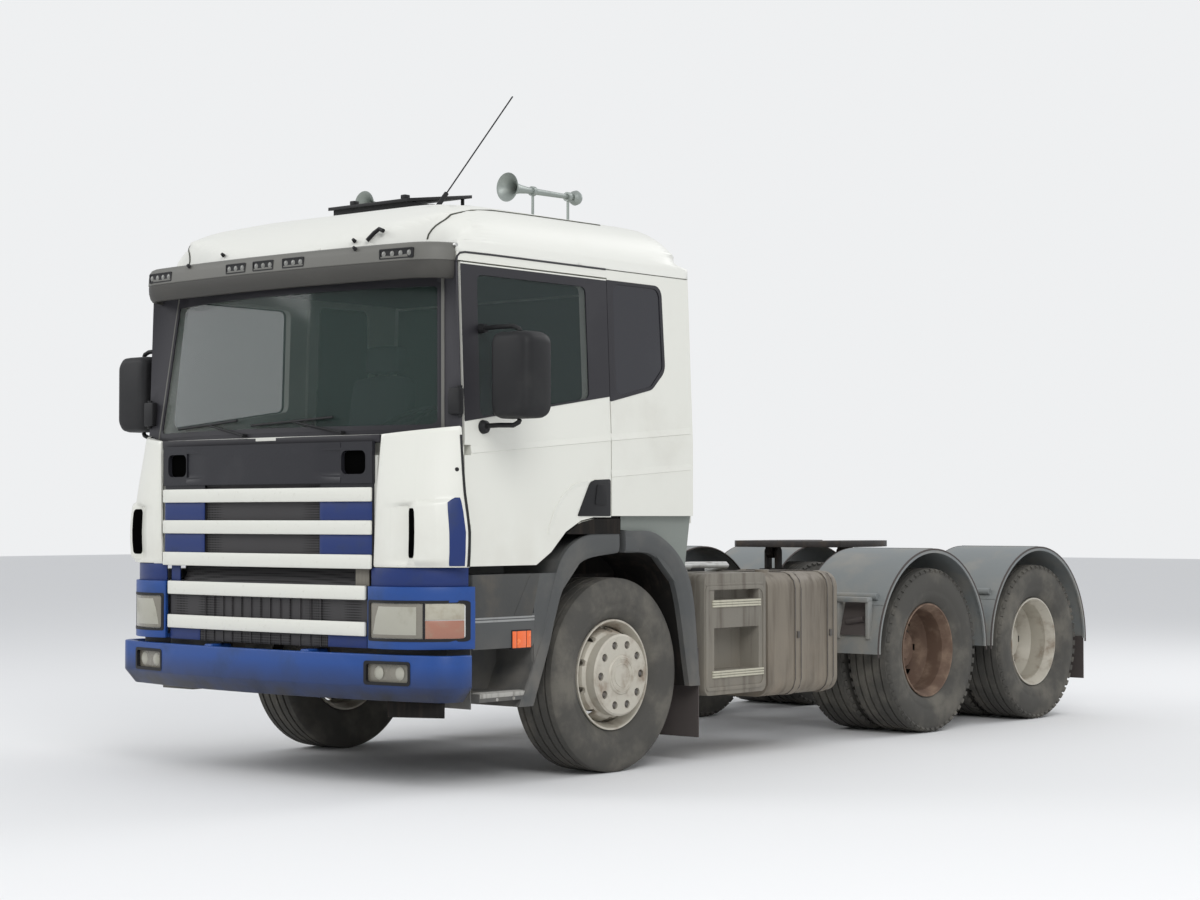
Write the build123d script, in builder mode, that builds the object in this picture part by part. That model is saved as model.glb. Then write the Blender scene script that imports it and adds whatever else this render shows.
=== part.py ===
from build123d import *
import os
from math import cos, radians, sin, sqrt

# Cab-over tractor unit, three axles, two of them driven, with twin rear tyres.
# Millimetres. X is the truck's left, the front looks along -Y, Z is up.
# The origin is on the ground, under the middle of the overall length.

os.makedirs("parts", exist_ok=True)

# Driving dimensions

FRONT_OVERHANG = 1570
WHEELBASE = 3100
BOGIE = 1350
REAR_OVERHANG = 680

TYRE_R = 525
TYRE_W = 310
TYRE_BEAD_R = 288
TREAD_HALF = 128
BEAD_HALF = 103.5
RIM_R = 298
STUD_COUNT = 10
STUD_PCD = 335
FRONT_TRACK = 2060
REAR_TRACK = 1810
TWIN_SPACING = 340
KINGPIN_X = 925
KINGPIN_R = 24
STEER_ARM = 190

RAIL_X = 425
RAIL_HEIGHT = 270
RAIL_FLANGE = 80
RAIL_WALL = 8
RAIL_TOP = 960
RAIL_FRONT = 1315

CAB_HALF = 1215
CAB_ROOF_HALF = 1178
CAB_REAR = 690
CAB_SILL = 1128
CAB_BELT = 1795
CAB_SEAM = 2705
CAB_WALL = 75
ROOF_WALL = 45
CAB_FLOOR = 1170
CAB_FLOOR_REAR = 1340
FLOOR_WALL = 30
CAB_FRONT = 1462
CAB_PILLAR_X = 1127
CAB_PILLAR_Y = 1269
CAB_LEAN = 88
CAB_CORNER_R = 70
SKIRT_REAR = 1381
ROOF_TOP = 3078

TILT_Y = 1360
TILT_Z = 980
TILT_PIN_R = 20
TILT_LUG_R = 42
TILT_X = 380

DOOR_FRONT = 1235
DOOR_REAR = 97
DOOR_TOP = 2655
DOOR_WALL = 52
DOOR_GAP = 8
DOOR_HINGE_GAP = 24
SEAT_GAP = 0.3
GLASS = 6

FRONT_FACE = 1522
FRONT_R = 10000
LID_HALF = 812
LID_TOP = 1756
LID_BOTTOM = 1116
LID_WALL = 22
BAR_DEPTH = 26
BAR_HEIGHT = 68
BAR_TOPS = (1523, 1356, 1184)
LOWER_BAR_TOPS = (1028, 846)
LOWER_HALF = 766
PANEL_BOTTOM = 1545
GRILLE_HALF = 450

BUMPER_FACE = FRONT_OVERHANG
BUMPER_TOP = 690
BUMPER_BOTTOM = 455
BUMPER_HALF = 1278
BUMPER_WALL = 40

STEP_FRONT = 1170
STEP_REAR = 700
STEP_TOP = 1084
STEP_BOTTOM = 403
STEP_FACE = 1205
STEP_DEPTH = 270

GUARD_R = 648
GUARD_WALL = 6
GUARD_OUTER = 1240
GUARD_INNER = 620

CHASSIS_FACE = 1200
BOX_FRONT = 745
BOX_REAR = 1330
TANK_FRONT = 1352
TANK_REAR = 2062
TANK_BOTTOM = 324
TANK_TOP = 1047
TANK_INNER = 470

FIFTH_Y = 3480
FIFTH_TOP = 1215
FIFTH_THICK = 42
FIFTH_PIVOT_Z = 1135
KING_BORE_R = 25.6

# Places along the truck, from the overall length

LENGTH = FRONT_OVERHANG + WHEELBASE + BOGIE + REAR_OVERHANG
AXLE_1 = FRONT_OVERHANG - LENGTH / 2
AXLE_2 = AXLE_1 + WHEELBASE
AXLE_3 = AXLE_2 + BOGIE
REAR_END = LENGTH / 2
SIDES = (1, -1)
RAIL_BOTTOM = RAIL_TOP - RAIL_HEIGHT
RAIL_IN = RAIL_X - RAIL_WALL

pieces = {}


def back(distance):
    """Y of a point that lies this far behind the front axle."""
    return AXLE_1 + distance


def block(x, y, z, mode=Mode.ADD):
    """A box between two values on each axis."""
    centre = tuple((a + b) / 2 for a, b in (x, y, z))
    with Locations(centre):
        Box(abs(x[1] - x[0]), abs(y[1] - y[0]), abs(z[1] - z[0]), mode=mode)


def rod(axis, centre, radius, length, mode=Mode.ADD):
    """A cylinder along X, Y or Z about its centre."""
    turn = {"X": (0, 90, 0), "Y": (90, 0, 0), "Z": (0, 0, 0)}[axis]
    with Locations(centre):
        Cylinder(radius, length, rotation=turn, mode=mode)


def side_plate(points, x0, x1, mode=Mode.ADD):
    """A straight-edged outline in the side view, (distance behind the front axle, z), between two X."""
    with BuildSketch(Plane.YZ.offset(x0)) as outline:
        with BuildLine():
            Polyline([(back(y), z) for y, z in points], close=True)
        make_face()
    extrude(outline.sketch, amount=x1 - x0, mode=mode)


def front_y(x, depth=0, face=FRONT_FACE):
    """Y of the gently curved front at a place across the truck, this deep behind its face."""
    return back(-face + depth) + FRONT_R - sqrt(FRONT_R**2 - x**2)


def front_band(half, z0, z1, depth, wall, x_from=None, mode=Mode.ADD, face=FRONT_FACE):
    """A band of the curved front, all across or from x_from to half."""
    x0 = -half if x_from is None else x_from
    middle = (x0 + half) / 2
    near = [(x, front_y(x, depth, face)) for x in (x0, middle, half)]
    far = [(x, front_y(x, depth + wall, face)) for x in (half, middle, x0)]
    with BuildSketch(Plane.XY.offset(z0)) as outline:
        with BuildLine():
            ThreePointArc(*near)
            Line(near[2], far[0])
            ThreePointArc(*far)
            Line(far[2], near[0])
        make_face()
    extrude(outline.sketch, amount=z1 - z0, mode=mode)


def arc_strip(a, b, c, wall, z):
    """A sketch of a curved wall: its outer face runs through three points, (x, distance behind axle)."""
    outer_points = [Vector(p[0], back(p[1])) for p in (a, b, c)]
    with BuildSketch(Plane.XY.offset(z)) as outline:
        with BuildLine():
            outer = ThreePointArc(*outer_points)
            centre = outer.arc_center
            inner_points = [p + (centre - p).normalized() * wall for p in reversed(outer_points)]
            Line(outer_points[2], inner_points[0])
            ThreePointArc(*inner_points)
            Line(inner_points[2], outer_points[0])
        make_face()
    return outline.sketch


def cab_outline(z, half, front, pillar_x, pillar_y, inset):
    """A sketch of the cab's plan outline at one height, this far inside its skin."""
    side = half - inset
    nose = (0, back(-front + inset))
    edge = (pillar_x - inset, back(-pillar_y + inset))
    shoulder = (side, back(-DOOR_FRONT - DOOR_HINGE_GAP + inset))
    rear = back(CAB_REAR) - inset
    bend = CAB_CORNER_R - inset / 2
    with BuildSketch(Plane.XY.offset(z)) as outline:
        with BuildLine():
            ThreePointArc((-edge[0], edge[1]), nose, edge)
            Line(edge, shoulder)
            Line(shoulder, (side, rear - bend))
            Line((side, rear - bend), (side - bend, rear))
            Line((side - bend, rear), (-side + bend, rear))
            Line((-side + bend, rear), (-side, rear - bend))
            Line((-side, rear - bend), (-shoulder[0], shoulder[1]))
            Line((-shoulder[0], shoulder[1]), (-edge[0], edge[1]))
        make_face()
    return outline.sketch


def cab_body(inset, floor, ceiling, mode=Mode.ADD):
    """The cab's volume between two heights, this far inside its skin: upright, then leaning in."""
    def at(z):
        share = max(0, (z - CAB_BELT) / (CAB_SEAM - CAB_BELT))
        return cab_outline(z, CAB_HALF + share * (CAB_ROOF_HALF - CAB_HALF), CAB_FRONT - share * CAB_LEAN,
                           CAB_PILLAR_X - share * CAB_LEAN, CAB_PILLAR_Y - share * CAB_LEAN, inset)

    for low, high in ((floor, CAB_BELT), (CAB_BELT, ceiling)):
        if low < high:
            loft([at(low), at(high)], ruled=True, mode=mode)


def side_x(z):
    """Half width of the cab at a height."""
    share = max(0, (z - CAB_BELT) / (CAB_SEAM - CAB_BELT))
    return CAB_HALF + share * (CAB_ROOF_HALF - CAB_HALF)


def cab_front_y(x, z):
    """Y of the cab's rounded front under the lid and at the windscreen."""
    share = max(0, (z - CAB_BELT) / (CAB_SEAM - CAB_BELT))
    rise = CAB_FRONT - CAB_PILLAR_Y
    radius = (CAB_PILLAR_X**2 + rise**2) / (2 * rise)
    return back(-CAB_FRONT + share * CAB_LEAN) + radius - sqrt(radius**2 - x**2)


def side_slab(depth, wall, y0, y1, mode=Mode.ADD):
    """A slab of the cab's left side, this deep under its skin, between two distances behind the axle."""
    levels = (CAB_SILL - 60, CAB_BELT, CAB_SEAM)
    outer = [(side_x(z) - depth, z) for z in levels]
    inner = [(x - wall, z) for x, z in reversed(outer)]
    with BuildSketch(Plane.XZ.offset(-back(y0))) as outline:
        with BuildLine():
            Polyline(*outer, *inner, close=True)
        make_face()
    extrude(outline.sketch, amount=y0 - y1, mode=mode)


def side_outline(corners, radius, x, grow=0.0):
    """A sketch in the side view, (distance behind the front axle, z), with one radius on its corners."""
    with BuildSketch(Plane.YZ.offset(x)) as outline:
        with BuildLine():
            FilletPolyline(*[(back(y), z) for y, z in corners], radius=radius, close=True)
        make_face()
        if grow:
            offset(amount=grow)
    return outline.sketch


# Tyres and wheels, each about its own axle line and then set in place

TYRE_PROFILE = (
    # out from the tyre's middle, radius
    (BEAD_HALF, TYRE_BEAD_R + 0.3),
    (BEAD_HALF, RIM_R + 1.5),
    (TYRE_W / 2 - 3, TYRE_BEAD_R + 70),
    (TYRE_W / 2, TYRE_BEAD_R + 130),
    (TYRE_W / 2 - 9, TYRE_R - 45),
    (TREAD_HALF, TYRE_R),
)


def tyre(x, y):
    """A tyre whose middle is at x across the truck."""
    left = [(-a, r) for a, r in reversed(TYRE_PROFILE)]
    plane = Plane(origin=(x, y, TYRE_R), x_dir=(1, 0, 0), z_dir=(0, -1, 0))
    with BuildSketch(plane) as section:
        with BuildLine():
            Polyline(*TYRE_PROFILE, *left, close=True)
        make_face()
    revolve(section.sketch, axis=Axis((x, y, TYRE_R), (1, 0, 0)))


def ring_of(profile, x, y, z, out):
    """A revolved wheel section: (outwards, radius) points about the axle line at x."""
    plane = Plane(origin=(x, y, z), x_dir=(out, 0, 0), z_dir=(0, -out, 0))
    with BuildSketch(plane) as section:
        with BuildLine():
            Polyline(*profile, close=True)
        make_face()
    revolve(section.sketch, axis=Axis((x, y, z), (1, 0, 0)))


def drill(x, y, z, pcd, count, radius, depth, start=0.0):
    """A ring of holes along X through whatever is there."""
    for step in range(count):
        turn = radians(start + step * 360 / count)
        spot = (x, y + pcd / 2 * cos(turn), z + pcd / 2 * sin(turn))
        rod("X", spot, radius, depth, mode=Mode.SUBTRACT)


TYRE_X = FRONT_TRACK / 2
MID_TWIN = REAR_TRACK / 2
HALF_GAP = TWIN_SPACING / 2
OUTER_TWIN = MID_TWIN + HALF_GAP
INNER_TWIN = MID_TWIN - HALF_GAP
BARREL_R = TYRE_BEAD_R - 27
HUB_FACE = 175
HUB_R = 220
DRUM_R = 205
SPINDLE_R = 35
AXLE_STUB_R = 60
RUNNING_GAP = 0.3

BARREL = (
    # out from the tyre's middle, radius
    (118, RIM_R), (118, RIM_R - 10), (60, BARREL_R), (-60, BARREL_R),
    (-118, RIM_R - 10), (-118, RIM_R), (-106, RIM_R), (-104, TYRE_BEAD_R),
    (104, TYRE_BEAD_R), (106, RIM_R),
)
FRONT_DISC = (
    (14, BARREL_R + 2), (98, 236), (112, HUB_R), (112, 0),
    (-25, 0), (-25, DRUM_R), (94, DRUM_R), (88, 222), (4, BARREL_R + 2),
)
HUB_COVER = (
    (112, 0), (112, HUB_R), (HUB_FACE - 8, HUB_R), (HUB_FACE, HUB_R - 10), (HUB_FACE, 106),
    (HUB_FACE + 8, 100), (HUB_FACE + 8, 0),
)
for side, name in zip(SIDES, ("left", "right")):
    x = side * TYRE_X
    with BuildPart() as piece:
        tyre(x, AXLE_1)
    pieces[f"front_tyre_{name}"] = piece
    with BuildPart() as piece:
        ring_of(BARREL, x, AXLE_1, TYRE_R, side)
        ring_of(FRONT_DISC, x, AXLE_1, TYRE_R, side)
        drill(x + side * 70, AXLE_1, TYRE_R, 2 * 243, STUD_COUNT, 20, 70, 18)
        ring_of(HUB_COVER, x, AXLE_1, TYRE_R, side)
        drill(x + side * HUB_FACE, AXLE_1, TYRE_R, STUD_PCD, STUD_COUNT, 22, 50)
        rod("X", (x + side * 25, AXLE_1, TYRE_R), SPINDLE_R + RUNNING_GAP, 100.2, mode=Mode.SUBTRACT)
    pieces[f"front_rim_{name}"] = piece

# Twin rear wheels: both discs meet at the middle of the pair, so the outer one is a deep dish

DISH = (
    # out from the outer wheel's middle, radius
    (-48, BARREL_R + 2), (-62, BARREL_R + 2), (-HALF_GAP + 22, 225), (-HALF_GAP, 205), (-HALF_GAP, 0),
    (-60, 0), (-60, 62), (-72, 74), (-72, 118), (-HALF_GAP + 14, 130), (-HALF_GAP + 14, 203),
    (-HALF_GAP + 34, 218),
)
INNER_DISH = (
    (48, BARREL_R + 2), (62, BARREL_R + 2), (HALF_GAP - 22, 225), (HALF_GAP, 205), (HALF_GAP, 0),
    (-110, 0), (-110, DRUM_R), (HALF_GAP - 30, DRUM_R), (HALF_GAP - 34, 218),
)
for number, y in ((2, AXLE_2), (3, AXLE_3)):
    for side, name in zip(SIDES, ("left", "right")):
        with BuildPart() as piece:
            for x in (OUTER_TWIN, INNER_TWIN):
                tyre(side * x, y)
        pieces[f"rear_tyres_{number}_{name}"] = piece
        with BuildPart() as piece:
            for x, disc in ((OUTER_TWIN, DISH), (INNER_TWIN, INNER_DISH)):
                ring_of(BARREL, side * x, y, TYRE_R, side)
                ring_of(disc, side * x, y, TYRE_R, side)
            drill(side * (OUTER_TWIN - HALF_GAP), y, TYRE_R, 2 * 232, 8, 24, 90)
            rod("X", (side * (INNER_TWIN - 10), y, TYRE_R), AXLE_STUB_R + RUNNING_GAP, 201,
                mode=Mode.SUBTRACT)
        pieces[f"rear_rims_{number}_{name}"] = piece

# Chassis frame: two channel rails, open inwards, and what ties them

RAIL_REAR = REAR_END - 30
with BuildPart() as frame_rails:
    for side in SIDES:
        for x, z in (((RAIL_IN, RAIL_X), (RAIL_BOTTOM, RAIL_TOP)),
                     ((RAIL_X - RAIL_FLANGE, RAIL_X), (RAIL_TOP - RAIL_WALL, RAIL_TOP)),
                     ((RAIL_X - RAIL_FLANGE, RAIL_X), (RAIL_BOTTOM, RAIL_BOTTOM + RAIL_WALL))):
            block((side * x[0], side * x[1]), (back(-RAIL_FRONT), RAIL_REAR), z)
pieces["frame_rails"] = frame_rails

CROSS_Z = (RAIL_BOTTOM + 40, RAIL_TOP - 50)
CROSS_PLACES = (
    # middle behind the front axle, length along the truck
    (-RAIL_FRONT + 60, 110), (1250, 60), (2250, 60), (WHEELBASE + BOGIE / 2, 180),
)
END_WALL = 14
HITCH_Z = RAIL_TOP - 130
HITCH_HALF = (80, 50)
HITCH_HOLE_R = 10.5
with BuildPart() as crossmembers:
    for middle, length in CROSS_PLACES:
        ends = (back(middle - length / 2), back(middle + length / 2))
        block((-RAIL_IN, RAIL_IN), ends, CROSS_Z)
        block((-RAIL_IN + 90, RAIL_IN - 90), (ends[0] + 8, ends[1] - 8), (CROSS_Z[0] - 1, CROSS_Z[1] - 8),
              mode=Mode.SUBTRACT)
    block((-RAIL_IN, RAIL_IN), (RAIL_REAR - END_WALL, RAIL_REAR),
          (RAIL_BOTTOM + RAIL_WALL, RAIL_TOP - RAIL_WALL))
    for x in (-HITCH_HALF[0], HITCH_HALF[0]):
        for z in (-HITCH_HALF[1], HITCH_HALF[1]):
            rod("Y", (x, RAIL_REAR, HITCH_Z + z), HITCH_HOLE_R, 4 * END_WALL, mode=Mode.SUBTRACT)
pieces["crossmembers"] = crossmembers

# Cab mounts: a pin between two cheeks on each side in front, a post under each rear corner

CHEEK_WALL = 14
CHEEK_GAP = 28
CHEEK_R = 38
MOUNT_INNER = 330
MOUNT_BOTTOM = RAIL_BOTTOM - 20
MOUNT_TOP = TILT_Z - 60
POST_Y = 560
POST_R = 34
POST_FOOT = 60
with BuildPart() as cab_mounts:
    for side in SIDES:
        block((side * MOUNT_INNER, side * RAIL_X), (back(-TILT_Y - 40), back(-RAIL_FRONT)), (MOUNT_BOTTOM, MOUNT_TOP))
        for x in (TILT_X - CHEEK_GAP - CHEEK_WALL, TILT_X + CHEEK_GAP):
            cheek = (side * x, side * (x + CHEEK_WALL))
            block(cheek, (back(-TILT_Y - CHEEK_R), back(-RAIL_FRONT)), (MOUNT_TOP - 1, TILT_Z))
            rod("X", (side * (x + CHEEK_WALL / 2), back(-TILT_Y), TILT_Z), CHEEK_R, CHEEK_WALL)
        rod("X", (side * TILT_X, back(-TILT_Y), TILT_Z), TILT_PIN_R, 2 * (CHEEK_GAP + CHEEK_WALL))
        block((side * (RAIL_X - RAIL_FLANGE), side * RAIL_X), (back(POST_Y - POST_FOOT), back(POST_Y + POST_FOOT)),
              (RAIL_TOP, RAIL_TOP + 16))
        post = (side * (RAIL_X - RAIL_FLANGE / 2), back(POST_Y), (RAIL_TOP + CAB_FLOOR_REAR - SEAT_GAP) / 2)
        rod("Z", post, POST_R, CAB_FLOOR_REAR - SEAT_GAP - RAIL_TOP)
pieces["cab_mounts"] = cab_mounts

# Front axle beam with its kingpins, and the leaf springs above it

BEAM_HALF = 45
SPRING_X = RAIL_X - 5
SPRING_HALF = 40
SEAT_Z = 495
EYE_Y = 700
EYE_Z = 640
EYE_R = 32
PIN_BOSS = (TYRE_R - 63, TYRE_R + 63)
with BuildPart() as front_axle:
    with BuildSketch(Plane.XZ.offset(-back(-BEAM_HALF))):
        with BuildLine():
            Polyline((-KINGPIN_X, TYRE_R - 50), (-760, TYRE_R - 50), (-590, SEAT_Z - 110),
                     (590, SEAT_Z - 110), (760, TYRE_R - 50), (KINGPIN_X, TYRE_R - 50),
                     (KINGPIN_X, TYRE_R + 50), (760, TYRE_R + 50), (600, SEAT_Z),
                     (-600, SEAT_Z), (-760, TYRE_R + 50), (-KINGPIN_X, TYRE_R + 50), close=True)
        make_face()
    extrude(amount=-2 * BEAM_HALF)
    for y in (-BEAM_HALF, BEAM_HALF):
        block((-540, 540), (back(y - 25), back(y + 25)), (SEAT_Z - 88, SEAT_Z - 22), mode=Mode.SUBTRACT)
    for side in SIDES:
        rod("Z", (side * KINGPIN_X, AXLE_1, TYRE_R), 46, PIN_BOSS[1] - PIN_BOSS[0])
        rod("Z", (side * KINGPIN_X, AXLE_1, TYRE_R), KINGPIN_R, 210)
pieces["front_axle"] = front_axle

LEAVES = (
    # leaf number from the top, half length
    (0, EYE_Y), (1, 620), (2, 470),
)
LEAF = 22
with BuildPart() as front_springs:
    for side in SIDES:
        x0, x1 = side * SPRING_X - SPRING_HALF, side * SPRING_X + SPRING_HALF
        rise = EYE_Z - SEAT_Z - 2 * LEAF
        for number, half in LEAVES:
            base = SEAT_Z + SEAT_GAP + (2 - number) * LEAF
            lift = rise * (half / EYE_Y) ** 2
            with BuildSketch(Plane.YZ.offset(x0)):
                with BuildLine():
                    ThreePointArc((back(-half), base + lift), (AXLE_1, base), (back(half), base + lift))
                    Line((back(half), base + lift), (back(half), base + lift + LEAF))
                    ThreePointArc((back(half), base + lift + LEAF), (AXLE_1, base + LEAF),
                                  (back(-half), base + lift + LEAF))
                    Line((back(-half), base + lift + LEAF), (back(-half), base + lift))
                make_face()
            extrude(amount=x1 - x0)
        for y in (-EYE_Y, EYE_Y):
            rod("X", (side * SPRING_X, back(y), EYE_Z + 8), EYE_R, 2 * SPRING_HALF)
            block((x0, x1), (back(y - 26), back(y + 26)), (EYE_Z + 8, RAIL_BOTTOM))
        block((x0, x1), (back(-90), back(90)), (SEAT_Z + SEAT_GAP + 2 * LEAF, SEAT_Z + 3 * LEAF + 18))
pieces["front_springs"] = front_springs

# Steering knuckles: a fork on the kingpin, a stub for the wheel, a brake plate and a rear arm

FORK_HALF = 42
ARM_Z = TYRE_R - 95
BALL_R = 12
TIE_R = 17
for side, name in zip(SIDES, ("left", "right")):
    x = side * KINGPIN_X
    with BuildPart() as piece:
        for z in (TYRE_R - 82, TYRE_R + 82):
            rod("Z", (x, AXLE_1, z), FORK_HALF, 34)
            block((x, x + side * 70), (AXLE_1 - FORK_HALF, AXLE_1 + FORK_HALF), (z - 17, z + 17))
        block((x + side * 52, x + side * 70), (AXLE_1 - FORK_HALF, AXLE_1 + FORK_HALF),
              (TYRE_R - 99, TYRE_R + 99))
        rod("X", (side * (KINGPIN_X + 68), AXLE_1, TYRE_R), DRUM_R - 8, 12)
        rod("X", (side * (TYRE_X + 10), AXLE_1, TYRE_R), SPINDLE_R, 120)
        block((x - 20, x + 20), (AXLE_1 + FORK_HALF - 12, AXLE_1 + STEER_ARM), (ARM_Z, ARM_Z + 26))
        rod("Z", (x, AXLE_1 + STEER_ARM, ARM_Z + 13), 24, 26)
        rod("Z", (x, AXLE_1, TYRE_R), KINGPIN_R + RUNNING_GAP, 240, mode=Mode.SUBTRACT)
        rod("Z", (x, AXLE_1 + STEER_ARM, ARM_Z), BALL_R + RUNNING_GAP, 80, mode=Mode.SUBTRACT)
    pieces[f"knuckle_{name}"] = piece

with BuildPart() as tie_rod:
    rod("X", (0, AXLE_1 + STEER_ARM, ARM_Z - 24), TIE_R, 2 * KINGPIN_X)
    for side in SIDES:
        rod("Z", (side * KINGPIN_X, AXLE_1 + STEER_ARM, ARM_Z - 24), 22, 38)
        rod("Z", (side * KINGPIN_X, AXLE_1 + STEER_ARM, ARM_Z), BALL_R, 52)
pieces["tie_rod"] = tie_rod

# Engine as one plain block, with its gearbox behind it and the radiator in front

with BuildPart() as engine_block:
    block((-320, 320), (back(-690), back(560)), (560, 1280))
    block((-230, 230), (back(560), back(1190)), (600, 900))
    block((-340, 340), (back(-930), back(-820)), (600, 1130))
    block((-200, 200), (back(-820), back(-690)), (700, 1000))
pieces["engine_block"] = engine_block

# Drive axles, their shafts and the bogie springs

HOUSING_R = 72
HOUSING_HALF = 600
BELLY_R = 185
SHAFT_Z = TYRE_R + 50
with BuildPart() as drive_axles:
    for y in (AXLE_2, AXLE_3):
        rod("X", (0, y, TYRE_R), HOUSING_R, 2 * HOUSING_HALF)
        rod("X", (0, y, TYRE_R), AXLE_STUB_R, 2 * (INNER_TWIN + 80))
        for side in SIDES:
            rod("X", (side * (HOUSING_HALF - 6), y, TYRE_R), DRUM_R - 6, 12)
        rod("Y", (0, y, TYRE_R), BELLY_R, 170)
        rod("Y", (0, y - 85 - 90, SHAFT_Z), 90, 190)
        rod("Y", (0, y - 85 - 195, SHAFT_Z), 55, 40)
    rod("Y", (0, AXLE_2 + 85 + 60, SHAFT_Z), 55, 120)
pieces["drive_axles"] = drive_axles

SHAFT_R = 45
with BuildPart() as prop_shafts:
    for start, end in ((back(1190), AXLE_2 - 300), (AXLE_2 + 205, AXLE_3 - 300)):
        rod("Y", (0, (start + end) / 2, SHAFT_Z), SHAFT_R, end - start)
pieces["prop_shafts"] = prop_shafts

BOGIE_Y = (AXLE_2 + AXLE_3) / 2
BOGIE_SPRING_X = 505
PACK_TOP = 790
with BuildPart() as rear_suspension:
    for side in SIDES:
        rod("X", (side * (BOGIE_SPRING_X - 50), BOGIE_Y, RAIL_BOTTOM - 50), 50, 200)
        block((side * (RAIL_X - 70), side * RAIL_X), (BOGIE_Y - 110, BOGIE_Y + 110),
              (RAIL_BOTTOM - 90, RAIL_BOTTOM))
        block((side * (BOGIE_SPRING_X - 42), side * (BOGIE_SPRING_X + 42)), (BOGIE_Y - 90, BOGIE_Y + 90),
              (RAIL_BOTTOM - 80, PACK_TOP + 12))
        for step in range(3):
            half = BOGIE / 2 - 150 * step
            drop = 100 * (half / (BOGIE / 2)) ** 2
            top = PACK_TOP - 66 + 22 * (step + 1)
            with BuildSketch(Plane.YZ.offset(side * BOGIE_SPRING_X - 40)):
                with BuildLine():
                    ThreePointArc((BOGIE_Y - half, top - drop), (BOGIE_Y, top), (BOGIE_Y + half, top - drop))
                    Line((BOGIE_Y + half, top - drop), (BOGIE_Y + half, top - drop - 22))
                    ThreePointArc((BOGIE_Y + half, top - drop - 22), (BOGIE_Y, top - 22),
                                  (BOGIE_Y - half, top - drop - 22))
                    Line((BOGIE_Y - half, top - drop - 22), (BOGIE_Y - half, top - drop))
                make_face()
            extrude(amount=80)
        for y in (AXLE_2, AXLE_3):
            block((side * (BOGIE_SPRING_X - 45), side * (BOGIE_SPRING_X + 45)), (y - 60, y + 60),
                  (TYRE_R + HOUSING_R, PACK_TOP - 66 + 22 - 100))
pieces["rear_suspension"] = rear_suspension

# Bumper: a curved strip with turned-in ends, tucked in below, with an opening for each pair of fog lamps

FOG_X = (795, 1055)
FOG_Z = (548, 648)


def nose_outline(z, places, inset):
    """A sketch of a rounded front in plan: places run from the middle to the left end."""
    nose, bend, corner, end, last = places
    half = [(bend[0] - 0.2 * inset, back(-bend[1] + inset)),
            (corner[0] - 0.7 * inset, back(-corner[1] + 0.7 * inset)),
            (end[0] - inset, back(-end[1])), (last[0] - inset, back(-last[1]))]
    other = [(-x, y) for x, y in half]
    with BuildSketch(Plane.XY.offset(z)) as outline:
        with BuildLine():
            ThreePointArc(other[0], (0, back(-nose[1] + inset)), half[0])
            ThreePointArc(half[0], half[1], half[2])
            Line(half[2], half[3])
            Line(half[3], other[3])
            Line(other[3], other[2])
            ThreePointArc(other[2], other[1], other[0])
        make_face()
    return outline.sketch


BUMPER_PLACES = ((0, BUMPER_FACE), (1140, 1450), (1245, 1392), (BUMPER_HALF, 1290), (BUMPER_HALF, 1245))


def bumper_outline(z, inset):
    """The bumper's plan outline, this far inside its face."""
    return nose_outline(z, BUMPER_PLACES, inset)


TUCK_Z = BUMPER_BOTTOM + 75
TUCK = 60
with BuildPart() as bumper:
    loft([bumper_outline(BUMPER_BOTTOM, TUCK), bumper_outline(TUCK_Z, 0)], ruled=True)
    extrude(bumper_outline(TUCK_Z, 0), amount=BUMPER_TOP - TUCK_Z)
    loft([bumper_outline(BUMPER_BOTTOM - 1, TUCK + BUMPER_WALL), bumper_outline(TUCK_Z, BUMPER_WALL)],
         ruled=True, mode=Mode.SUBTRACT)
    extrude(bumper_outline(TUCK_Z, BUMPER_WALL), amount=BUMPER_TOP - TUCK_Z + 1, mode=Mode.SUBTRACT)
    for side in SIDES:
        block((side * FOG_X[0], side * FOG_X[1]), (back(-1600), back(-1300)), FOG_Z, mode=Mode.SUBTRACT)
        block((side * 345, side * 405), (back(-BUMPER_FACE + BUMPER_WALL - 6), back(-TILT_Y - 40)),
              (RAIL_BOTTOM - 20, RAIL_BOTTOM + 10))
pieces["bumper"] = bumper

# Fixed front under the cab: two bars over a mesh, and a surround for each headlamp

MESH_DEPTH = 22
MESH_WALL = 10
RIB = 5
LOWER_DEPTH = 4
LOWER_BOTTOM = BUMPER_TOP + 24
LOWER_TOP = LOWER_BAR_TOPS[0]
with BuildPart() as lower_grille:
    for top in LOWER_BAR_TOPS:
        front_band(LOWER_HALF, top - BAR_HEIGHT, top, LOWER_DEPTH, BAR_DEPTH)
    front_band(LOWER_HALF, LOWER_BOTTOM, LOWER_TOP, LOWER_DEPTH + MESH_DEPTH, MESH_WALL)
    for step in range(-6, 7):
        x = step * GRILLE_HALF / 6
        y = front_y(x, LOWER_DEPTH + MESH_DEPTH)
        block((x - RIB / 2, x + RIB / 2), (y - 8, y + 1), (LOWER_BOTTOM, LOWER_TOP))
    for side in SIDES:
        block((side * 345, side * 405), (front_y(375, LOWER_DEPTH + MESH_DEPTH + 2), back(-TILT_Y - 40)),
              (LOWER_BOTTOM + 60, LOWER_BOTTOM + 90))
pieces["lower_grille"] = lower_grille

LAMP_FRAME = (
    # z, then three places of the outer face: (x, in front of the axle)
    (718, (786, 1488), (1115, 1425), (1252, 1192)),
    (1028, (786, 1488), (1112, 1420), (1246, 1192)),
)
LAMP_Z = (768, 950)
LAMP_WALL = 26
LENS_WALL = 10
LAMP_X = (812, 1232)


def lamp_shell(inset, wall, z0, z1, mode=Mode.ADD):
    """A piece of the headlamp's curved corner on the left side, between two heights."""
    a, b, c = LAMP_FRAME[0][1:]
    centre_ward = [(p[0] - inset * 0.5, -(p[1] - inset * 0.8)) for p in (a, b, c)]
    extrude(arc_strip(*centre_ward, wall, z0), amount=z1 - z0, mode=mode)


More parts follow.
